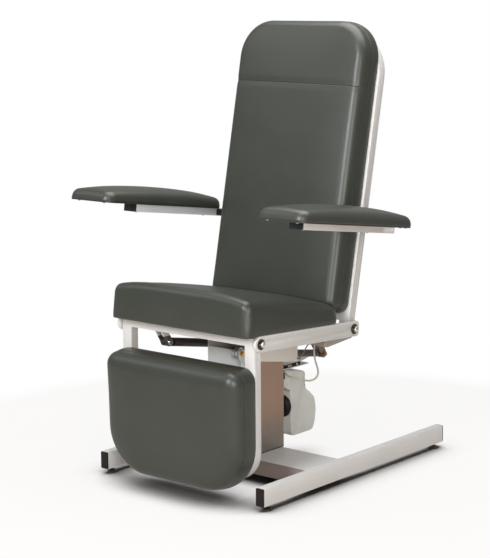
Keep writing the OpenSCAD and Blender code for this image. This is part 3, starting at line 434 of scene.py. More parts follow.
def plan_outline(half, low, top, r1, r2, along, across):
    """Rounded rectangle sampled from corner middle to corner middle.

    Each corner is a quarter circle about its centre, and the sides join them. The curve is measured by arc
    length and sampled evenly between the four corner middles, so that it can border a grid of along by across
    cells. Returns the points and their outward unit normals, bottom side first.
    """
    centres = [(-half + r1, low + r1, r1, 180), (half - r1, low + r1, r1, 270), (half - r2, top - r2, r2, 0),
               (-half + r2, top - r2, r2, 90)]
    points, normals = [], []
    counts = (across, along, across, along)
    for count, (cx, cy, r, a), (dx, dy, q, b) in zip(counts, centres, centres[1:] + centres[:1]):
        first = np.radians(np.linspace(a + 45, a + 90, 24))
        second = np.radians(np.linspace(b, b + 45, 24))
        p = np.concatenate([np.stack([cx + r * np.cos(first), cy + r * np.sin(first)], 1),
                            np.stack([dx + q * np.cos(second), dy + q * np.sin(second)], 1)])
        d = np.concatenate([np.stack([np.cos(turn), np.sin(turn)], 1) for turn in (first, second)])
        far = np.concatenate([[0], np.cumsum(np.linalg.norm(np.diff(p, axis=0), axis=1))])
        at = np.linspace(0, far[-1], count + 1)[:-1]
        points.append(np.stack([np.interp(at, far, p[:, k]) for k in (0, 1)], 1))
        normals.append(np.stack([np.interp(at, far, d[:, k]) for k in (0, 1)], 1))
    normals = np.concatenate(normals)
    return np.concatenate(points), normals / np.linalg.norm(normals, axis=1, keepdims=True)


def coons(ring, along, across):
    """Grid bordered by a ring: the sum of the two ruled surfaces less the bilinear one between the corners."""
    bottom = ring[: across + 1]
    right = ring[across : across + along + 1]
    top = ring[across + along : 2 * across + along + 1][::-1]
    left = np.concatenate([ring[2 * across + along :], ring[:1]])[::-1]
    u = np.linspace(0, 1, across + 1)[:, None, None]
    v = np.linspace(0, 1, along + 1)[None, :, None]
    ruled = (1 - v) * bottom[:, None] + v * top[:, None] + (1 - u) * left[None] + u * right[None]
    corner = (1 - u) * (1 - v) * bottom[0] + u * (1 - v) * bottom[-1] + (1 - u) * v * top[0] + u * v * top[-1]
    return ruled - corner


def pad_shell(half, low, top, r1, r2, edge, height, along, across, lip=0.003, board=0.0125, bow=0.0, tuck=0.0008):
    """Points and faces of a pad as across, along, up from its board.

    The front is a grid inside the plan outline, and its height is the function height(across, along). Round
    the grid the cover turns over the edge on a quarter circle, goes down the side, which bows outwards by a
    sine, tucks in at the board and is turned under it. Closed inside the board.
    """
    outline, normal = plan_outline(half, low, top, r1, r2, along, across)
    rows = []
    for a in np.radians(np.linspace(90, 0, 9)):
        p = outline - normal * edge * (1 - math.cos(a))
        rows.append(np.column_stack([p, height(p[:, 0], p[:, 1]) - edge * (1 - math.sin(a))]))
    border = rows[-1][:, 2]
    for share in np.linspace(1, 0, 9)[1:]:
        out = bow * math.sin(math.pi * share) - tuck * (1 - share) ** 6
        rows.append(np.column_stack([outline + normal * out, border * share]))
    for inset, up in ((tuck + lip * 0.5, 0.0), (tuck + lip, 0.0), (tuck + lip, board)):
        rows.append(np.column_stack([outline - normal * inset, np.full(len(outline), up)]))
    rings = np.stack(rows)
    grid = coons(rings[0][:, :2], along, across)
    front = np.dstack([grid, height(grid[..., 0], grid[..., 1])]).reshape(-1, 3)
    ij = np.arange((across + 1) * (along + 1)).reshape(across + 1, along + 1)
    cells = np.stack([ij[:-1, :-1], ij[1:, :-1], ij[1:, 1:], ij[:-1, 1:]], -1).reshape(-1, 4)
    base = coons(rings[-1][:, :2], along, across)
    under = np.dstack([base, np.full(base.shape[:2], board)]).reshape(-1, 3)
    start, count = len(rows) * len(outline), len(front)
    faces = np.concatenate([strip_faces(len(rows), len(outline)), cells + start, cells[:, ::-1] + start + count])
    return np.concatenate([rings.reshape(-1, 3), front, under]), faces.tolist()


def swollen(piece, spot, cap, still):
    """Runs a short pressure simulation on the cover and keeps the movement, capped and evened out.

    Points for which still(across, along, up) is true are held. Pressure lifts the rest, and each point's
    movement m is kept as m * min(1, cap / |m|), so that no point moves further than cap. Then the movement is
    averaged with that of the neighbours many times, which leaves the swell of tight foam without the wrinkles of
    loose cloth.
    """
    mesh, scene = piece.data, bpy.context.scene
    rest = values_of(mesh.vertices, "co")
    held = still(*in_frame(rest, spot))
    group = piece.vertex_groups.new(name="held")
    group.add(np.flatnonzero(held).tolist(), 1.0, "REPLACE")
    cloth = piece.modifiers.new("Foam pressure", "CLOTH")
    for name, value in CLOTH.items():
        setattr(cloth.settings, name, value)
    cloth.settings.effector_weights.gravity = 0
    cloth.collision_settings.use_collision = False
    for at in range(1, SWELL_FRAMES + 1):
        scene.frame_set(at)
    shown = piece.evaluated_get(bpy.context.evaluated_depsgraph_get())
    move = values_of(shown.data.vertices, "co") - rest
    piece.modifiers.remove(cloth)
    piece.vertex_groups.clear()
    scene.frame_set(1)
    far = np.linalg.norm(move, axis=1, keepdims=True)
    move = move * np.minimum(1, cap / np.maximum(far, 1e-9))
    ends = values_of(mesh.edges, "vertices", 2, np.int64)
    count = np.bincount(ends.ravel(), minlength=len(rest))[:, None]
    for _ in range(EVEN_PASSES):
        total = np.zeros_like(move)
        np.add.at(total, ends[:, 0], move[ends[:, 1]])
        np.add.at(total, ends[:, 1], move[ends[:, 0]])
        move = (1 - EVEN_SHARE) * move + EVEN_SHARE * total / np.maximum(count, 1)
        move[held] = 0
    mesh.vertices.foreach_set("co", (rest + move).ravel())
    mesh.update()


def draw_in(piece, spot, depth):
    """Moves each point against its normal by depth(across, along, up), a function of its local place."""
    mesh = piece.data
    points, normals = (values_of(mesh.vertices, what) for what in ("co", "normal"))
    inward = depth(*in_frame(points, spot))
    mesh.vertices.foreach_set("co", (points - normals * inward[:, None]).ravel())
    mesh.update()


def bell(distance, width):
    """1 at distance 0, falling to both sides as a Gaussian curve."""
    return np.exp(-((distance / width) ** 2))


def rim_pinch(depth, rim):
    """How far the rim seam of an upright pad draws its side in."""
    return RIM_DRAWN * bell(depth - rim, RIM_WIDTH) * (depth < FREE_TO_PINCH)


def at_board(across, depth, height):
    """Where the cover of an upright pad is held by its board."""
    return depth > FREE_TO_SWELL


def stood_up(points):
    """A pad built flat, as across, along, up, stood up so that its thickness goes to the front of its board."""
    return np.column_stack([points[:, 0], -BOARD_AHEAD - points[:, 2], points[:, 1]])


def covered(node, spot, shape, material, body, swell, still, pinch=None):
    """A pad's cover: built, swollen by its foam, drawn in at its seams and rounded; it stands for the node.

    shape is points and faces in the pad's own frame; still and pinch are functions of a place in it.
    """
    points, faces = shape
    piece = new_piece(f"{node}_cover", placed(points, spot), faces, material, body, "vinyl")
    swollen(piece, spot, swell, still)
    if pinch:
        draw_in(piece, spot, pinch)
    rounder = piece.modifiers.new("Rounder", "SUBSURF")
    rounder.levels = rounder.render_levels = 1
    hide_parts(node)


# ---------------------------------------------------------------- finishes
def vinyl_finish(name, spot, seam=None, rim=None, gathered_at=None):
    """Upholstery vinyl: soft pressed grain, faint tone changes, seam lines as fine grooves with painted shade in them.

    seam is the height of the line across an upright pad's front, rim the depth of the line round its sides, and
    gathered_at the half width and the front of a seat whose upper front corners are gathered. A groove's depth is
    1 minus a smooth step of the distance from its line.
    """
    look = bpy.context.scene.chair_upholstery
    colour = tuple(look.colour)
    fin = Finish(name, colour, look.gloss, 0.0, Specular_IOR_Level=0.60, Coat_Weight=0.16, Coat_Roughness=0.34)
    across, along, up = fin.parts(fin.moved(*spot))
    cloudy = fin.noise(7.0, 3.0, 0.5)
    worn = fin.noise(42.0, 4.0, 0.6)
    tone = fin.mix(cloudy.rise(0.3, 0.7), shade(colour, 0.93), shade(colour, 1.06))
    tone = fin.mix(worn.rise(0.45, 0.75) * 0.16, tone, (0.042, 0.041, 0.033))
    rough = cloudy * 0.07 + worn * 0.05 + (look.gloss - 0.06)
    height = fin.cells(1350.0) * 0.6 + fin.noise(2600.0, 2.0, 0.5) * 0.4
    normal = fin.bump(height, look.grain, 0.55)
    normal = fin.bump(fin.noise(16.0, 2.0, 0.5), 0.0016, 0.3, normal)
    if gathered_at:
        half, front = gathered_at
        near = abs(across).rise(half - 0.030, half - 0.004) * along.rise(front + 0.030, front + 0.004)
        folds = fin.noise(1.0, 2.0, 0.5, fin.scaled((210.0, 210.0, 26.0)))
        normal = fin.bump(folds * (near * up.rise(0.065, 0.105)), 0.0030, 0.8, normal)
    if rim:
        groove_and_shade = (1 - abs(along - rim).rise(0.0006, 0.0036)) * 0.75
        if seam:
            line = 1 - abs(up + across * SEAM_TILT - seam).rise(0.0004, 0.0026)
            groove_and_shade = groove_and_shade.largest(line * (along * -1.0).rise(0.062, 0.068))
        # Painted shade: the seam lines are painted darker, as shade in their grooves.
        tone = fin.mix(groove_and_shade * 0.72, tone, shade(colour, 0.28))
        rough = rough + groove_and_shade * 0.2
        normal = fin.bump(1 - groove_and_shade, 0.0011, 0.9, normal)
    return fin.wire(Base_Color=tone, Roughness=rough, Normal=normal)


def enamel_finish(name, colour, mask=None, marked=None, dull=0.0, gloss=0.29, coat=(0.2, 0.2), cloud=5.0,
                  tones=(0.975, 1.02), specks=False):
    """Baked enamel on steel: orange peel, a faint cloud in the tone and, where asked, tiny dust specks.

    mask(fin) is 1 where the marked colour is painted instead; there the roughness grows by dull. On the back levers and
    the crossmember's sides that colour is painted shade, on the head's front painted light.
    """
    fin = Finish(name, colour, gloss, 0.0, Coat_Weight=coat[0], Coat_Roughness=coat[1])
    peel = fin.noise(420.0, 2.0, 0.5)
    clouds = fin.noise(cloud, 2.0, 0.5)
    tone = fin.mix(clouds.rise(0.3, 0.7), shade(colour, tones[0]), shade(colour, tones[1]))
    rough = clouds * 0.06 + peel * 0.05 + gloss
    if specks:
        tone = fin.mix(fin.noise(900.0, 1.0, 0.4).rise(0.72, 0.8) * 0.25, tone, shade(colour, 0.8))
    if mask:
        share = mask(fin)
        tone = fin.mix(share, tone, marked)
        rough = rough + share * dull
    return fin.wire(Base_Color=tone, Roughness=rough, Normal=fin.bump(peel, 0.00012, 0.35))


def arm_cap(fin):
    """The moulded cap ahead of a plane across the arm tube."""
    return 1 - fin.parts(fin.moved(*ARM))[1].rise(-0.4334, -0.4328)


def painted_light_head_front(fin):
    """The lifting head's front plate, ahead of a plane and between the two cheeks; its colour there is painted light.
    """
    x, y, _ = fin.parts()
    return (1 - y.rise(-0.2010, -0.1990)) * (1 - abs(x).rise(0.0836, 0.0842))


def painted_shade_back_lever(fin):
    """The back frame's lever plates, below the pivot; they are painted dark brown as shade."""
    return 1 - fin.parts(fin.moved(*BACK))[2].rise(-0.030, -0.027)


def leg_lever(fin):
    """The legrest frame's lever plates: a band across, under the top bar."""
    x, _, z = fin.parts()
    return (1 - abs(x + 0.120).rise(0.040, 0.042)) * (1 - z.rise(HIGH - 0.0260, HIGH - 0.0250))


def painted_shade_sides(fin):
    """The crossmember's front and sides, under the sheet of its top; they are painted dark as shade."""
    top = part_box("crossmember")[1][2]
    return 1 - fin.parts()[2].rise(top - 0.0016, top - 0.0008)


def brushed_finish(name, colour):
    """Brushed metal of the sleeve: long fine lines along Z that vary tone and gloss; greyer near the foot as painted
    reflection and shade from the crossmember, browner upwards.
    """
    fin = Finish(name, colour, 0.36, 1.0)
    height = fin.parts()[2]
    lines = fin.noise(1.0, 4.0, 0.7, fin.scaled((900.0, 900.0, 5.0)))
    broad = fin.noise(1.0, 3.0, 0.5, fin.scaled((60.0, 60.0, 2.0)))
    # Painted reflection and shade: the sleeve is painted grey near its foot, where it faces the crossmember.
    above_foot_reflection = height.rise(0.07, 0.24)
    tone = fin.mix(above_foot_reflection, (0.36, 0.345, 0.325), colour)
    tone = fin.mix(lines.rise(0.35, 0.65) * 0.35, tone, shade(colour, 0.78))
    rough = lines * 0.14 + broad * 0.1 + 0.27
    return fin.wire(Base_Color=tone, Roughness=rough, Normal=fin.bump(lines, 0.00005, 0.4))


def bolt_finish(name, across, height):
    """Acorn nut on a dark washer: the tone goes by the distance from the bolt's axis along X."""
    fin = Finish(name, (0.6, 0.55, 0.48), 0.24, 1.0)
    x, y, z = fin.parts()
    far = ((y - across) * (y - across) + (z - height) * (z - height)).root()
    washer = far.rise(0.0094, 0.0102)
    marks = fin.noise(260.0, 3.0, 0.6)
    tone = fin.mix(marks.rise(0.35, 0.7) * 0.4, (0.80, 0.76, 0.70), (0.62, 0.50, 0.34))
    tone = fin.mix(washer, tone, (0.10, 0.085, 0.075))
    rough = marks * 0.12 + washer * 0.2 + 0.16
    return fin.wire(Base_Color=tone, Roughness=rough, Normal=fin.bump(marks, 0.00004, 0.3))


def housing_finish(name, colour, screw):
    """Moulded drive cover: fine spark texture, a seam round its middle and a screw recess, both painted dark as shade.
    """
    fin = Finish(name, colour, 0.42, 0.0, Specular_IOR_Level=0.4)
    x, y, z = fin.parts()
    far = ((y - screw[0]) * (y - screw[0]) + (z - screw[1]) * (z - screw[1])).root()
    recess_and_shade = 1 - far.rise(0.0030, 0.0042)
    seam = 1 - abs(x).rise(0.0004, 0.0012)
    spark = fin.noise(900.0, 2.0, 0.6)
    cloud = fin.noise(14.0, 3.0, 0.5)
    tone = fin.mix(cloud.rise(0.3, 0.7), shade(colour, 0.96), shade(colour, 1.03))
    # Painted shade: the screw recess is painted near-black and the seam round the middle darker.
    tone = fin.mix(recess_and_shade.largest(seam * 0.6), tone, (0.03, 0.03, 0.03))
    rough = cloud * 0.08 + spark * 0.06 + 0.36
    normal = fin.bump(spark, 0.00005, 0.4)
    return fin.wire(Base_Color=tone, Roughness=rough, Normal=fin.bump(1 - recess_and_shade.largest(seam), 0.0012, 0.8, normal))


def metal_finish(name, colour, roughness=0.2):
    """Plated steel with faint turning marks and handling smears."""
    fin = Finish(name, colour, roughness, 1.0)
    marks = fin.noise(260.0, 3.0, 0.6)
    smear = fin.noise(70.0, 3.0, 0.6)
    tone = fin.mix(smear.rise(0.35, 0.7) * 0.5, colour, shade(colour, 0.82))
    rough = marks * 0.1 + smear * 0.12 + (roughness - 0.09)
    return fin.wire(Base_Color=tone, Roughness=rough, Normal=fin.bump(marks, 0.00004, 0.3))


def rod_finish(name, front, middle):
    """Plated strut rod; the end of its fork ahead of front is painted pale and less metallic as painted light, and the
    fork's slot down its middle is painted dark as shade.
    """
    fin = Finish(name, (0.52, 0.52, 0.52), 0.4, 1.0)
    x, y, _ = fin.parts()
    face = 1 - y.rise(front, front + 0.0015)
    slot = face * (1 - abs(x - middle).rise(0.0009, 0.0014))
    marks = fin.noise(260.0, 3.0, 0.6)
    tone = fin.mix(marks.rise(0.35, 0.7) * 0.4, (0.52, 0.52, 0.52), (0.42, 0.42, 0.42))
    # Painted light: the fork's end is painted pale, and below it is made less metallic.
    tone = fin.mix(face, tone, (0.80, 0.84, 0.87))
    # Painted shade: the fork's slot is painted near-black.
    tone = fin.mix(slot, tone, (0.04, 0.04, 0.045))
    rough = marks * 0.12 + 0.32
    normal = fin.bump(1 - slot, 0.0010, 0.8)
    return fin.wire(Base_Color=tone, Roughness=rough, Metallic=1 - face * 0.85, Normal=normal)


def plastic_finish(name, colour, roughness=0.45, texture=700.0, depth=0.00008, shine=0.45):
    """Moulded plastic with a fine spark texture."""
    fin = Finish(name, colour, roughness, 0.0, Specular_IOR_Level=shine)
    spark = fin.noise(texture, 2.0, 0.6)
    cloud = fin.noise(18.0, 3.0, 0.5)
    tone = fin.mix(cloud.rise(0.3, 0.7), shade(colour, 0.93), shade(colour, 1.05))
    rough = cloud * 0.08 + spark * 0.08 + (roughness - 0.08)
    return fin.wire(Base_Color=tone, Roughness=rough, Normal=fin.bump(spark, depth, 0.4))


def board_finish(name, colour, dark):
    """Plywood: long grain along the board, pores, darker streaks."""
    fin = Finish(name, colour, 0.6)
    ring = fin.noise(1.0, 5.0, 0.6, fin.scaled((70.0, 9.0, 9.0)), 0.6)
    pore = fin.noise(1.0, 2.0, 0.7, fin.scaled((900.0, 60.0, 60.0)))
    tone = fin.mix(ring.rise(0.3, 0.72), colour, dark)
    tone = fin.mix(pore.rise(0.58, 0.7) * 0.5, tone, shade(dark, 0.6))
    rough = ring * 0.15 + 0.5
    return fin.wire(Base_Color=tone, Roughness=rough, Normal=fin.bump(ring * 0.6 + pore * 0.4, 0.0003, 0.5))


METALS = (
    # name, colour, roughness
    ("Chrome", (0.83, 0.80, 0.76), 0.16),
    ("Zinc", (0.52, 0.52, 0.52), 0.4),
    ("Foot steel", (0.06, 0.055, 0.05), 0.36),
    ("Brass", (0.72, 0.47, 0.16), 0.28),
    ("Bronze", (0.36, 0.235, 0.15), 0.38),
)
PLASTICS = (
    # name, colour, roughness, then where it differs the texture's scale, its depth and the shine
    ("Black plastic", (0.012, 0.009, 0.009), 0.5, 700.0, 0.00008, 0.22),
    ("Gasket", (0.03, 0.03, 0.032), 0.7, 300.0, 0.0002),
    ("Pale plastic", (0.62, 0.62, 0.58), 0.42),
    ("White plug", (0.74, 0.73, 0.69), 0.4),
    ("Grey plastic", (0.40, 0.36, 0.33), 0.45),
    ("Lead jacket", (0.62, 0.58, 0.52), 0.45, 1500.0, 0.00004),
    ("Thin lead jacket", (0.20, 0.14, 0.10), 0.45, 1500.0, 0.00004),
    ("Dark board", (0.035, 0.032, 0.035), 0.6, 500.0, 0.0002),
)


def finishes():
    """All shared materials by name, made once."""
    steel = bpy.context.scene.chair_steel
    paint = tuple(steel.paint)
    if "Enamel" in bpy.data.materials:
        return bpy.data.materials
    enamel_finish("Enamel", paint, specks=True)
    enamel_finish("Black enamel", (0.035, 0.026, 0.026), gloss=0.37, specks=True)
    # Painted shade: the back frame's lever plates are painted dark brown.
    enamel_finish("Back enamel", paint, painted_shade_back_lever, (0.20, 0.135, 0.095))
    enamel_finish("Leg enamel", paint, leg_lever, (0.06, 0.055, 0.055))
    # Painted light: the head's front plate is painted lighter and bluer than the rest.
    enamel_finish("Cream enamel", (0.865, 0.838, 0.780), painted_light_head_front, (0.88, 0.945, 0.97), gloss=0.30,
                  coat=(0.15, 0.25), cloud=9.0, tones=(0.982, 1.018))
    # Painted shade: the crossmember's front and sides are painted dark brown under its top.
    enamel_finish("Base enamel", (0.70, 0.70, 0.69), painted_shade_sides, (0.24, 0.195, 0.18), 0.2, 0.22, (0.3, 0.12),
                  tones=(0.97, 1.02))
    # The two arm tubes get their own tints, warmer on the left arm and cooler on the right: painted light and shade on
    # copies of one paint.
    for side, colour in (("left", (0.86, 0.83, 0.80)), ("right", (0.80, 0.84, 0.87))):
        enamel_finish(f"Arm enamel {side}", colour, arm_cap, (0.012, 0.012, 0.015), 0.14, 0.27, (0.15, 0.25), 6.0,
                      (0.97, 1.02))
    housing_finish("Drive cover", (0.76, 0.785, 0.75), (0.1366, 0.2424))
    brushed_finish("Brushed sleeve", tuple(steel.column))
    for row in METALS:
        metal_finish(*row)
    for row in PLASTICS:
        plastic_finish(*row)
    board_finish("Plywood", (0.42, 0.29, 0.17), (0.26, 0.16, 0.085))
    return bpy.data.materials


# ---------------------------------------------------------------- stage
# The photograph's camera: degrees to the sitter's left, above level and of roll; focal length and width in the
# photograph's pixels; its place, which follows the frame's shift
AZIMUTH, ELEVATION, ROLL = 40.3, 9.8, -0.466
FOCAL, PICTURE_WIDTH, SENSOR = 1691.7, 558.0, 36.0
CAMERA_PLACE = (3.4620, AHEAD - 4.0890, 1.5580)
LAMPS = (
    # name, place, what it aims at, width, height, watts, colour
    ("Overhead soft box", (0.2, 0.2, 3.3), (0.1, 0, 0.5), 2.8, 2.8, 105, (1.0, 1.0, 1.0)),
    ("Front soft box", (0.35, -3.9, 2.5), (0, 0, 0.7), 1.1, 1.5, 112, (0.95, 0.985, 1.0)),
    ("Left wash", (-2.6, -2.2, 3.2), (0, 0, 0.6), 1.6, 1.6, 14, (0.97, 1.0, 1.0)),
    ("Right strip", (2.30, -2.35, 1.38), (0, 0.05, 1.1), 0.42, 1.5, 42, (1.0, 0.955, 0.905)),
)
# Half the floor's side; where its far part fades to white; reach of the wide and of the tight contact shadow
FLOOR_HALF, FADE = 30.0, (0.6, 1.5)
WIDE_SHADOW, TIGHT_SHADOW = 0.13, 0.045
# Share of white in the open floor for the camera, and of the white that glossy surfaces see
WHITE_SHARE, MIRRORED_SHARE = 0.86, 0.2


def put_camera(scene):
    """Camera with its axes from the turn, the height and the roll, and the sharpness of a pinhole."""
    turn, height, roll = (math.radians(v) for v in (AZIMUTH, ELEVATION, ROLL))
    back = Vector((math.sin(turn) * math.cos(height), -math.cos(turn) * math.cos(height), math.sin(height)))
    right = Vector((math.cos(turn), math.sin(turn), 0.0))
    up = back.cross(right)
    across = math.cos(roll) * right + math.sin(roll) * up
    above = math.cos(roll) * up - math.sin(roll) * right
    lens = bpy.data.cameras.new("Camera")
    lens.sensor_width = SENSOR
    lens.lens = SENSOR * FOCAL / PICTURE_WIDTH
    lens.clip_end = 100.0
    camera = bpy.data.objects.new("Camera", lens)
    scene.collection.objects.link(camera)
    spot = Matrix((across, above, back)).transposed().to_4x4()
    spot.translation = CAMERA_PLACE
    camera.matrix_world = spot
    scene.camera = camera


def put_floor(scene):
    """Matt pale floor that the camera sees as white, apart from the shadow near what stands on it; there its colour is
    painted dark as a contact shadow.
    """
    corners = FLOOR_HALF * np.array([[-1, -1, 0], [1, -1, 0], [1, 1, 0], [-1, 1, 0]])
    mesh = bpy.data.meshes.new("floor")
    mesh.from_pydata(corners.tolist(), [], [[0, 1, 2, 3]])
    floor = bpy.data.objects.new("floor", mesh)
    scene.collection.objects.link(floor)
    fin = Finish("Pale floor", (0.7, 0.66, 0.62), 0.9, Specular_IOR_Level=0.2)
    near, tight = (
        fin.field(fin.node("ShaderNodeAmbientOcclusion", {"samples": 12}, {"Distance": reach}).outputs["AO"])
        for reach in (WIDE_SHADOW, TIGHT_SHADOW)
    )
    open_floor = near.rise(0.45, 1.0)
    # Painted shadow: near what stands on the floor, its colour for the camera is painted near-black.
    painted_shadow = fin.mix(1 - tight.rise(0.25, 0.85), (0.16, 0.155, 0.15), (0.03, 0.029, 0.028))
    pale = fin.mix(fin.noise(3.0, 3.0, 0.5), (0.58, 0.53, 0.49), (0.62, 0.57, 0.53))
    seen = fin.node("ShaderNodeLightPath", {}, {}).outputs
    camera_ray = fin.field(seen["Is Camera Ray"])
    fin.wire(Base_Color=fin.mix(camera_ray * (1 - open_floor), pale, painted_shadow))
    x, y, _ = fin.parts()
    far = (x * x + y * y).root().rise(*FADE)
    mirrored = fin.field(seen["Is Glossy Ray"]).largest(fin.field(seen["Is Transmission Ray"]))
    share = camera_ray * (open_floor * WHITE_SHARE).largest(far) + mirrored * MIRRORED_SHARE
    glow = fin.node("ShaderNodeEmission", {}, {"Color": (1, 1, 1, 1), "Strength": 1.0})
    joined = fin.node("ShaderNodeMixShader", {}, {})
    for source, slot in ((share.socket, 0), (fin.shader.outputs[0], 1), (glow.outputs[0], 2)):
        fin.tree.links.new(source, joined.inputs[slot])
    fin.tree.links.new(joined.outputs[0], fin.tree.nodes["Material Output"].inputs["Surface"])
    mesh.materials.append(fin.material)


def put_lamps(scene, level):
    """Soft rectangular lamps, each turned to what it aims at."""
    for name, place, aim, width, tall, strength, colour in LAMPS:
        light = bpy.data.lights.new(name, "AREA")
        light.shape = "RECTANGLE"
        light.size, light.size_y = width, tall
        light.energy = strength * level
        light.color = colour
        thing = bpy.data.objects.new(name, light)
        thing.location = place
        thing.rotation_mode = "QUATERNION"
        thing.rotation_quaternion = (Vector(aim) - Vector(place)).to_track_quat("-Z", "Y")
        scene.collection.objects.link(thing)


def put_surround(scene, level):
    """Even faint light from all round; the camera sees white, and glossy surfaces see a share of it."""
    world = bpy.data.worlds.new("Studio")
    scene.world = world
    world.use_nodes = True
    tree = world.node_tree
    tree.nodes.clear()
    path = tree.nodes.new("ShaderNodeLightPath").outputs
    glowing, white = (tree.nodes.new("ShaderNodeBackground") for _ in range(2))
    glowing.inputs["Color"].default_value = (0.235, 0.228, 0.222, 1)
    glowing.inputs["Strength"].default_value = level
    white.inputs["Color"].default_value = (1, 1, 1, 1)
    both = tree.nodes.new("ShaderNodeMixShader")
    mirrored = Field(tree, path["Is Glossy Ray"]).largest(Field(tree, path["Is Transmission Ray"]))
    shown = Field(tree, path["Is Camera Ray"]).largest(mirrored * MIRRORED_SHARE)
    for source, slot in ((shown.socket, 0), (glowing.outputs[0], 1), (white.outputs[0], 2)):
        tree.links.new(source, both.inputs[slot])
    tree.links.new(both.outputs[0], tree.nodes.new("ShaderNodeOutputWorld").inputs["Surface"])


# ---------------------------------------------------------------- operators
class CHAIR_OT_stage(bpy.types.Operator):
    """Floor, white surround, soft lamps and the camera at the photograph's angle"""

    bl_idname = "chair.stage"
    bl_label = "Stage"

    def execute(self, context):
        scene, level = context.scene, context.scene.chair_stage.level
        put_camera(scene)
        put_floor(scene)
        put_lamps(scene, level)
        put_surround(scene, level)
        scene.view_settings.view_transform = "Standard"
        return {"FINISHED"}


class CHAIR_OT_seat(bpy.types.Operator):
    """Wedge seat cushion: high at the front, crowned, with drawn corners"""

    bl_idname = "chair.seat"
    bl_label = "Seat cushion"

    def execute(self, context):
        look = context.scene.chair_upholstery
        low, top, half, corner, edge = -0.0635, 0.3785, 0.2885, 0.029, 0.027
        lift, overhang, wing, wing_reach = 0.0252, 0.004, 0.2705, 0.015
        thickness, fall, crowned, held_to = 0.1035, 0.046, 0.0205, 0.040
        pleat_drawn, pleat_width, hollow_drawn, hollow_width = 0.0032, 0.006, 0.0012, 0.03

        def height(x, s):
            """Thickness falls in a straight line to the rear, plus a crown that is highest in the middle."""
            share = np.clip((s - low) / (top - low), 0, 1)
            crown = 1 - np.abs(x / half) ** 3.6
            swell = np.sin(np.pi * (0.06 + 0.88 * share))
            return thickness - fall * share + crowned * crown * (0.95 - 0.5 * share + 0.12 * swell)

        def pinch(x, s, t):
            """A pleat at each front corner and a faint hollow behind the front roll."""
            pleat = bell(np.abs(x) - half + 0.010, pleat_width) * bell(s - low - 0.010, pleat_width)
            pleat = pleat * np.clip((t - 0.03) / 0.03, 0, 1)
            hollow = bell(s - low - 0.085, hollow_width) * (t > 0.09) * (1 - (x / half) ** 4)
            return pleat_drawn * pleat + hollow_drawn * hollow

        points, faces = pad_shell(half, low, top, corner, corner, edge, height, 44, 56, bow=0.001)
        # The front hangs a little over the cross tube, and the rear corners reach past the back frame's posts
        front = np.clip((-0.02 - points[:, 1]) / 0.02, 0, 1) * np.clip(1 - points[:, 2] / 0.03, 0, 1)
        points[:, 2] += lift - overhang * front
        beside = np.clip((np.abs(points[:, 0]) - wing) / 0.008, 0, 1) * np.clip((points[:, 1] - 0.33) / 0.045, 0, 1)
        points[:, 1] += wing_reach * beside
        covered("seat_cushion", SEAT, (points, faces), vinyl_finish("Seat vinyl", SEAT, gathered_at=(half, low)),
                "lift", look.swell * 0.5, lambda x, s, t: t < held_to, pinch)
        dress(finishes()["Plywood"], "seat_board")
        return {"FINISHED"}


class CHAIR_OT_back(bpy.types.Operator):
    """Back pad with its round head end and the sewn cross seam"""

    bl_idname = "chair.back"
    bl_label = "Back pad"

    def execute(self, context):
        look = context.scene.chair_upholstery
        low, top, half, seam, seam_width = 0.044, 0.982, 0.2655, 0.7695, 0.0075
        foot_corner, head_corner, edge = 0.035, 0.125, 0.029
        thickness, crowned = 0.0812, 0.009

        def height(x, s):
            """Even thickness with a low crown, a little fuller in the lower half."""
            share = np.clip((s - low) / (top - low), 0, 1)
            crown = 1 - np.abs(x / half) ** 2.4
            return thickness + crowned * crown * np.sin(np.pi * (0.05 + 0.9 * share))

        def pinch(x, w, s):
            """The cross seam draws the front in on a Gaussian line; the rim seam draws the side in a little."""
            front = np.clip((-w - 0.06) / 0.02, 0, 1)
            return look.seam_depth * bell(s + SEAM_TILT * x - seam, seam_width) * front + rim_pinch(w, BACK_RIM)

        points, faces = pad_shell(half, low, top, foot_corner, head_corner, edge, height, 84, 48, bow=0.002)
        covered("back_pad", BACK, (stood_up(points), faces), vinyl_finish("Back vinyl", BACK, seam, BACK_RIM), "back",
                look.swell * 0.7, at_board, pinch)
        dress(finishes()["Plywood"], "back_board")
        return {"FINISHED"}


class CHAIR_OT_legrest(bpy.types.Operator):
    """Thick legrest pad with large round lower corners"""

    bl_idname = "chair.legrest"
    bl_label = "Legrest pad"

    def execute(self, context):
        look = context.scene.chair_upholstery
        low, top, half = -0.4685, -0.0735, 0.2795
        foot_corner, knee_corner, edge = 0.154, 0.045, 0.037
        thickness, gain, crowned = 0.083, 0.012, 0.0085

        def height(x, s):
            """Thickness grows in a straight line to the upper end, plus a low crown both ways."""
            share = np.clip((s - low) / (top - low), 0, 1)
            crown = (1 - np.abs(x / half) ** 2.6) * np.sin(np.pi * (0.08 + 0.84 * share))
            return thickness + gain * share + crowned * crown

        points, faces = pad_shell(half, low, top, foot_corner, knee_corner, edge, height, 44, 56, bow=0.002)
        covered("legrest_pad", LEG, (stood_up(points), faces), vinyl_finish("Legrest vinyl", LEG, rim=LEG_RIM),
                "legrest", look.swell * 0.7, at_board, lambda x, w, s: rim_pinch(w, LEG_RIM))
        dress(finishes()["Plywood"], "legrest_board")
        return {"FINISHED"}


# Profile of a raised screw head, and the screws under the left arm as across, along, up in the arm's frame
SCREW = ((0.0, 0.0008), (0.0042, 0.0008), (0.0044, -0.0006), (0.0036, -0.0022), (0.0018, -0.0030), (0.0, -0.0032))
SCREW_SPOTS = ((0.449, -0.566, 0.0125), (0.337, -0.566, 0.0125), (0.471, -0.050, 0.0125), (0.471, -0.076, 0.0125),
               (0.345, -0.405, -0.0125), (0.345, -0.075, -0.0125))


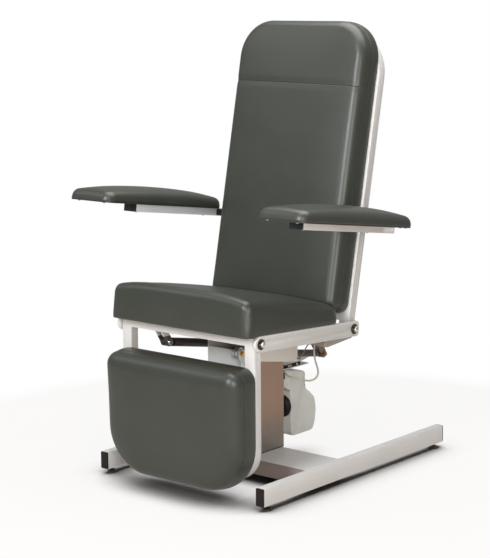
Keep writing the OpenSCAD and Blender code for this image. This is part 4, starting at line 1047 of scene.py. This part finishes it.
class CHAIR_OT_arms(bpy.types.Operator):
    """Both arm pads, boat-shaped, on their boards and tubes"""

    bl_idname = "chair.arms"
    bl_label = "Arms"

    def execute(self, context):
        look, looks = context.scene.chair_upholstery, finishes()
        half, low, top, corner, edge = 0.0925, -0.5815, -0.0205, 0.034, 0.021
        middle, lift, held_to = 0.3948, 0.0165, 0.028
        thickness, gain, crowned = 0.0265, 0.0060, 0.0185

        def height(x, s):
            """Thickness along the pad follows a power of a sine; the crown across follows the same power."""
            rise = np.sin(np.pi * np.clip((s - low) / (top - low), 0.002, 0.998)) ** 0.42
            return thickness + gain * rise + crowned * rise * (1 - np.abs(x / half) ** 2.1)

        for name, side in (("left", 1), ("right", -1)):
            body = f"arm_{name}"
            points, faces = pad_shell(half, low, top, corner, corner, edge, height, 60, 22, lip=0.001, board=0.0095,
                                      bow=0.0008, tuck=0.0004)
            points = points * (side, 1, 1) + (side * middle, 0, lift)
            covered(f"arm_pad_{name}", ARM, (points, faces), vinyl_finish(f"Arm vinyl {name}", ARM), body,
                    look.swell * 0.35, lambda x, s, t: t < held_to)
            dress(looks["Dark board"], f"arm_board_{name}")
            eased(f"arm_tube_{name}", 0.0018, looks[f"Arm enamel {name}"], "paint")
            dress(looks["Black plastic"], f"arm_block_{name}")
            screws, faces = gathered([turned(SCREW, (side * x, y, z), (0, 0, 1), 14) for x, y, z in SCREW_SPOTS])
            new_piece(f"arm_screws_{name}", placed(screws, ARM), faces, looks["Zinc"], body, "zinc")
        return {"FINISHED"}


class CHAIR_OT_steel(bpy.types.Operator):
    """Painted tubes, side bars, head and base with eased edges"""

    bl_idname = "chair.steel"
    bl_label = "Painted steel"

    def execute(self, context):
        edge, looks = context.scene.chair_steel.edge, finishes()
        for node in ("base_rail_left", "base_rail_right", "seat_bar_left", "seat_bar_right", "cross_tube_front",
                     "cross_tube_rear"):
            eased(node, edge, looks["Enamel"], "paint")
        for node, width, look, slot in (
            ("legrest_frame", edge, "Leg enamel", "paint"),
            ("back_frame", edge, "Back enamel", "paint"),
            ("crossmember", 0.001, "Base enamel", "paint"),
            ("drive_bracket", 0.0008, "Enamel", "paint"),
            ("lifting_head", 0.0012, "Cream enamel", "cream_paint"),
            ("strut_bracket", 0.0010, "Black enamel", "black_paint"),
        ):
            eased(node, width, looks[look], slot)
        return {"FINISHED"}


class CHAIR_OT_column(bpy.types.Operator):
    """Brushed sleeve, mast, gasket and glides"""

    bl_idname = "chair.column"
    bl_label = "Column"

    def execute(self, context):
        looks = finishes()
        dress(looks["Brushed sleeve"], "column_sleeve")
        dress(looks["Zinc"], "mast", "lift_spindle")
        dress(looks["Gasket"], "column_gasket")
        dress(looks["Black plastic"], "mast_glides")
        dress(looks["Pale plastic"], "sleeve_glides")
        return {"FINISHED"}


# Side view of the drive cover, as shares of its depth behind the lug in front and of its height below the lug
COVER_SHARES = ((0, 0), (0.8, 0.004), (0.88, 0.03), (0.96, 0.14), (1, 0.3), (0.99, 0.42), (0.93, 0.54), (0.76, 0.64),
                (0.62, 0.7), (0.57, 0.76), (0.57, 1), (-0.24, 1.1), (-0.24, 0.82), (-0.06, 0.76), (0, 0.72))
LUG_DEPTH, LUG_HEIGHT = 0.24, 0.1
# The terminal strip's ribs: how many, where they start, their pitch, and how far every third one is drawn in
RIBS, RIB_START, RIB_PITCH, RIB_DRAWN = 25, 0.030, 0.0034, 0.0012
# Outlines of the strip (across, up) and of its cover plate (along, up), each up from its own underside
STRIP = ((0.006, 0), (0.0385, 0), (0.0400, 0.0015), (0.0400, 0.0120), (0.0385, 0.0135), (0.006, 0.0135))
PLATE = ((0.026, 0.0), (0.118, 0.0), (0.150, 0.006), (0.152, 0.010), (0.116, 0.0085), (0.112, 0.0030), (0.026, 0.0030))
PLUG = ((0.0, -0.004), (0.0030, -0.004), (0.0030, 0.004), (0.0022, 0.0052), (0.0, 0.0052))
# Places of the plugs along the strip, and how far across and how high they stand; the plate's stations across; how
# high the plate and the strip stand. Heights are from the bracket's upper face.
PLUG_PLACES, PLUG_ACROSS, PLUG_UP = (0.046, 0.057, 0.090), 0.0385, 0.0070
PLATE_ACROSS, PLATE_UP, STRIP_UP = (-0.030, -0.029, 0.0415, 0.0425), 0.0138, 0.0002


class CHAIR_OT_drive(bpy.types.Operator):
    """Drive housing, motor cap, connector block and control box"""

    bl_idname = "chair.drive"
    bl_label = "Drive"

    def execute(self, context):
        looks = finishes()
        low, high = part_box("drive_housing")
        tall = (high[2] - low[2]) / (1 + LUG_HEIGHT)
        deep = (high[1] - low[1]) / (1 + LUG_DEPTH)
        front = low[1] + LUG_DEPTH * deep
        outline = softened([(front + a * deep, low[2] + b * tall) for a, b in COVER_SHARES])
        # Both ends turn over on a quarter circle, and a fine pair of stations holds the seam in the middle
        turn = np.radians(np.linspace(0, 90, 7))
        half, ease, seam = high[0], 0.005, 0.0006
        ends = half - ease + ease * np.sin(turn)
        drawn = ease * (1 - np.cos(turn))
        points, faces = carried(outline, np.concatenate([-ends[::-1], [-seam, seam], ends]),
                                np.concatenate([drawn[::-1], [0, 0], drawn]))
        cover = new_piece("drive_cover", points, faces, looks["Drive cover"], "lift", "light_plastic", smooth=False)
        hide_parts("drive_housing")

        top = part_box("drive_bracket")[1][2]
        strip = np.array(STRIP)
        outer = strip[:, 0] > 0.03
        rings = np.stack([
            np.column_stack([strip[:, 0] - (0 if k % 3 else RIB_DRAWN) * outer,
                             np.full(len(strip), RIB_START + RIB_PITCH * k), top + STRIP_UP + strip[:, 1]])
            for k in range(RIBS)
        ])
        new_piece("terminal_strip", rings.reshape(-1, 3), prism_faces(RIBS, len(strip)), looks["Black plastic"], "lift",
                  "black_plastic", smooth=False)
        plugs = [turned(PLUG, (PLUG_ACROSS, y, top + PLUG_UP), (1, 0, 0), 12) for y in PLUG_PLACES]
        new_piece("terminal_plugs", *gathered(plugs), looks["White plug"], "lift", "light_plastic")
        points, faces = carried([(y, top + PLATE_UP + z) for y, z in PLATE], PLATE_ACROSS, [0.0004, 0, 0, 0.0004])
        new_piece("terminal_cover", points, faces, looks["Pale plastic"], "lift", "light_plastic", smooth=False)

        dress(looks["Black plastic"], "motor_cap")
        eased("connector_block", 0.001, looks["Black plastic"], "black_plastic")
        eased("control_box", 0.003, looks["Grey plastic"], "grey_plastic", 3)
        eased("control_box_end", 0.0015, looks["Black plastic"], "black_plastic")
        return {"FINISHED"}


class CHAIR_OT_hardware(bpy.types.Operator):
    """Bolts, pins, struts, feet and end caps"""

    bl_idname = "chair.hardware"
    bl_label = "Hardware"

    def execute(self, context):
        looks = finishes()
        for place in ("front_left", "front_right", "rear_left", "rear_right"):
            bolt = f"bolt_{place}"
            low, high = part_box(bolt)
            dress(bolt_finish(f"{bolt} steel", (low[1] + high[1]) / 2, (low[2] + high[2]) / 2), bolt)
            eased(f"cap_{place}", 0.0016, looks["Black plastic"], "black_plastic")
            dress(looks["Foot steel"], f"foot_{place}")
        low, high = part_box("back_rod")
        dress(rod_finish("Rod with fork", low[1] + 0.0005, (low[0] + high[0]) / 2), "back_rod")
        dress(looks["Chrome"], "legrest_pin", "leg_rod")
        dress(looks["Brass"], "notch_pin")
        dress(looks["Bronze"], "back_pin")
        dress(looks["Black enamel"], "leg_cylinder", "back_cylinder")
        return {"FINISHED"}


# Routes of the two leads, as across, back and drop below the front pivots in millimetres. The last three points
# of each stand at the control box, and are given in the part's own heights.
LEAD_ROUTE = ((38, 140, 193), (44, 140, 194), (50, 140, 198.5), (56, 140.5, 203), (64, 142, 206.5), (75, 146, 209),
              (86, 153, 212), (94, 165, 216.5), (99, 181, 222), (103, 198, 225), (107, 214, 223.5), (110, 223, 218),
              (112.5, 228, 210), (114.5, 228.5, 200), (116, 223, 185), (118, 213, 168), (121, 203, 151),
              (125, 194, 134), (129, 188, 118), (132, 185.999, 105.585), (132, 185.514, 99.605),
              (132, 185.037, 93.724))
THIN_ROUTE = ((88, 150, 143), (94, 150, 142.5), (101, 152, 137), (107, 157, 126), (112, 163, 112), (117, 167, 100),
              (122, 168.928, 94.928), (122, 168.444, 88.949), (122, 167.967, 83.068))


def route(points, per_span=5):
    """Smooth line through the points: between two of them it is the cubic whose end slopes are half the
    distance between their neighbours, and the ends are carried on straight."""
    p = np.array(points, float)
    p = np.column_stack([p[:, 0] / 1000, p[:, 1] / 1000 + AHEAD, HIGH - p[:, 2] / 1000])
    ghost = np.vstack([2 * p[0] - p[1], p, 2 * p[-1] - p[-2]])
    slope = (ghost[2:] - ghost[:-2]) / 2
    t = np.linspace(0, 1, per_span + 1)[None, :-1, None]
    a, b, m, n = p[:-1, None], p[1:, None], slope[:-1, None], slope[1:, None]
    line = (2 * t**3 - 3 * t**2 + 1) * a + (t**3 - 2 * t**2 + t) * m + (3 * t**2 - 2 * t**3) * b + (t**3 - t**2) * n
    return np.vstack([line.reshape(-1, 3), p[-1:]])


def tube_along(line, radius, sides=14):
    """Round tube: a circle carried along the line and kept square to it."""
    ahead = np.gradient(line, axis=0)
    ahead /= np.linalg.norm(ahead, axis=1, keepdims=True)
    side = np.cross(ahead, np.array([0.31, 0.95, 0.05]))
    side /= np.linalg.norm(side, axis=1, keepdims=True)
    third = np.cross(ahead, side)
    turn = np.radians(np.arange(sides) * 360 / sides)[None, :, None]
    rings = line[:, None] + radius * (np.cos(turn) * side[:, None] + np.sin(turn) * third[:, None])
    return closed_tube(rings, line[[0, -1]])


class CHAIR_OT_leads(bpy.types.Operator):
    """The pale lead from the connector block to the control box, and the thin brown lead"""

    bl_idname = "chair.leads"
    bl_label = "Leads"

    def execute(self, context):
        looks = finishes()
        for node, points, thick, finish, slot in (
            ("lead", LEAD_ROUTE, 0.006, "Lead jacket", "lead_plastic"),
            ("thin_lead", THIN_ROUTE, 0.004, "Thin lead jacket", "thin_lead_plastic"),
        ):
            line = route(points)
            mesh_points, faces = tube_along(line, thick / 2)
            piece = new_piece(f"{node}_drawn", mesh_points, faces, looks[finish], "lift", slot)
            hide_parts(node)
        dress(looks["Black plastic"], "lead_gland")
        return {"FINISHED"}


class CHAIR_PT_panel(bpy.types.Panel):
    """Shows the chair's settings and the buttons of its operators"""

    bl_idname = "CHAIR_PT_panel"
    bl_label = "Phlebotomy chair"
    bl_space_type = "VIEW_3D"
    bl_region_type = "UI"
    bl_category = "Chair"

    def draw(self, context):
        layout = self.layout
        for group in (context.scene.chair_upholstery, context.scene.chair_steel, context.scene.chair_stage):
            for name in group.__annotations__:
                layout.prop(group, name)
        for operator in OPERATORS:
            layout.operator(operator.bl_idname)


OPERATORS = (CHAIR_OT_stage, CHAIR_OT_leads, CHAIR_OT_seat, CHAIR_OT_back, CHAIR_OT_legrest, CHAIR_OT_arms,
             CHAIR_OT_steel, CHAIR_OT_column, CHAIR_OT_drive, CHAIR_OT_hardware)
CLASSES = (ChairUpholstery, ChairSteel, ChairStage, *OPERATORS, CHAIR_PT_panel)


def register():
    for thing in CLASSES:
        bpy.utils.register_class(thing)
    bpy.types.Scene.chair_upholstery = bpy.props.PointerProperty(type=ChairUpholstery)
    bpy.types.Scene.chair_steel = bpy.props.PointerProperty(type=ChairSteel)
    bpy.types.Scene.chair_stage = bpy.props.PointerProperty(type=ChairStage)


def unregister():
    for name in ("chair_upholstery", "chair_steel", "chair_stage"):
        delattr(bpy.types.Scene, name)
    for thing in reversed(CLASSES):
        bpy.utils.unregister_class(thing)


def main():
    register()
    bpy.ops.chair.stage()
    bpy.ops.chair.leads()
    bpy.ops.chair.seat()
    bpy.ops.chair.back()
    bpy.ops.chair.legrest()
    bpy.ops.chair.arms()
    bpy.ops.chair.steel()
    bpy.ops.chair.column()
    bpy.ops.chair.drive()
    bpy.ops.chair.hardware()
    bpy.context.view_layer.update()


if __name__ == "__main__":
    main()
